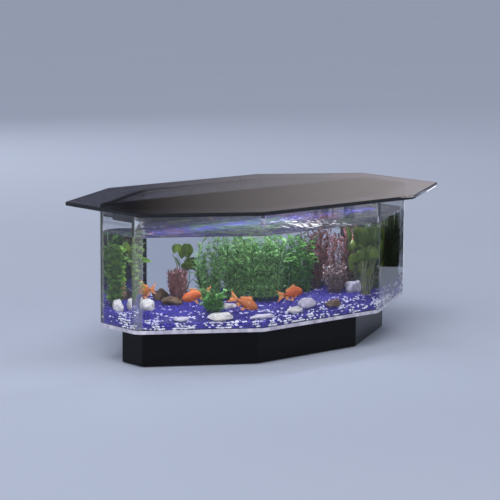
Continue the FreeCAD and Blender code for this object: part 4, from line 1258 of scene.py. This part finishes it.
def fish_fins():
    """Back fin, vent fin, the two lobes of the tail, and the paired fins of each side."""
    bm = bmesh.new()
    bm.loops.layers.uv.new("UVMap")
    fin(bm, ((0.17, 0, 0.21), (-0.30, 0, 0.11)), ((0.06, 0, 0.40), (-0.38, 0, 0.19)))
    fin(bm, ((-0.20, 0, -0.12), (-0.36, 0, -0.06)), ((-0.27, 0, -0.27), (-0.44, 0, -0.16)))
    for up in (1, -1):
        fin(bm, ((-0.44, 0, 0.07 * up), (-0.47, 0, -0.01 * up)),
            ((-0.84, 0.02 * up, 0.27 * up), (-0.70, 0, 0.0)), 0.04)
    for side in (1, -1):
        fin(bm, ((0.17, 0.13 * side, -0.06), (0.10, 0.13 * side, -0.10)),
            ((0.04, 0.25 * side, -0.16), (-0.05, 0.20 * side, -0.22)))
        fin(bm, ((0.02, 0.05 * side, -0.20), (-0.07, 0.05 * side, -0.19)),
            ((-0.05, 0.09 * side, -0.34), (-0.15, 0.07 * side, -0.28)))
    bmesh.ops.recalc_face_normals(bm, faces=bm.faces)
    return stamp_shape(bm, "fish_fins")


print("goldfish:", len(FISH_HEADINGS), "of", FISH_LENGTH, "m from nose to tail root")

# %% [markdown]
# Scales are small cells with a darker rim, and wet skin has a clear gloss over them, which is what
# the coat is for. Two of the fish are browner, by the tone that is stamped on each. Fins show
# fine rays that run outwards.

# %% Goldfish finishes


def fish_skin():
    """Orange scales, paler on some flanks, with wet gloss."""
    made, desk = new_material("goldfish_skin")
    scale = cells_of(desk, 620.0)
    patch = noise_of(desk, 60.0, 2.0)
    orange = blend(scale * 1.5, rgb(0.95, 0.20, 0.012), rgb(0.52, 0.06, 0.004))
    brown = blend(patch, rgb(0.30, 0.11, 0.02), rgb(0.60, 0.22, 0.05))
    browner = blend(tone_of(desk) * 0.8, orange, brown)
    shade = blend((patch - 0.66) * 5, browner, rgb(0.86, 0.50, 0.26))
    return finish(made, desk, shade, 0.25 + 0.2 * scale, bump_of(scale, 0.35), {"Coat Weight": 0.4})


def fin_skin():
    """Thin orange skin over pale rays."""
    made, desk = new_material("goldfish_fin")
    ray = noise_of(desk, 500.0, 2.0, (0.3, 1.0, 1.0))
    shade = blend(ray, rgb(0.85, 0.22, 0.03), rgb(0.95, 0.50, 0.20))
    return finish(made, desk, shade, 0.4, bump_of(ray, 0.5))


FINISHES["fish_skin"], FINISHES["fish_fin"] = fish_skin(), fin_skin()
FINISHES["fish_iris"] = moulded("fish_iris", rgb(0.75, 0.45, 0.10), rgb(0.90, 0.65, 0.20), 0.1)
FINISHES["fish_pupil"] = moulded("fish_pupil", rgb(0.004, 0.004, 0.004), rgb(0.01, 0.01, 0.01), 0.05)
print("fish finishes:", [name for name in FINISHES if name.startswith("fish")])

# %% [markdown]
# Each fish hangs where its stand-in does, with a heading, a dip and a tone of its own. An eye is
# two balls: the pupil is smaller and stands a little out of the iris, so it shows as a dark disc
# in a golden ring from any side. A painted spot would need a map of its own for so small a thing.

# %% Goldfish
EYE_FORWARD, EYE_UP = 0.335, 0.055
EYE_SIZES = ((0.080, 0.100, 1), (0.052, 0.121, 2))  # across, out from the middle, material


def hang_fish():
    """Stamp the four fish where the CAD model holds them."""
    body, fins, ball = fish_body(), fish_fins(), eye_ball()
    bodies, all_fins = bmesh.new(), bmesh.new()
    for (low, high), (heading, dip, tone) in zip(solids("goldfish"), FISH_HEADINGS):
        turn = (Matrix.Rotation(math.radians(heading), 4, "Z")
                @ Matrix.Rotation(math.radians(dip), 4, "Y"))
        middle = (low + high) / 2 + turn.to_3x3() @ Vector((TAIL_OFFSET, 0, 0))
        place = Matrix.Translation(middle) @ turn @ Matrix.Scale(FISH_LENGTH, 4)
        stamp(bodies, body, place, tone)
        stamp(all_fins, fins, place, tone)
        for side in (1, -1):
            for size, out, material in EYE_SIZES:
                socket = Matrix.Translation((EYE_FORWARD, out * side, EYE_UP))
                eye_place = socket @ Matrix.Scale(size, 4)
                stamp(bodies, ball, place @ eye_place, tone, material)
    make_piece(bodies, "goldfish_bodies", ["fish_skin", "fish_iris", "fish_pupil"],
               replaced=["goldfish"], slot="goldfish_skin")
    make_piece(all_fins, "goldfish_fins", ["fish_fin"], slot="goldfish_skin")


hang_fish()
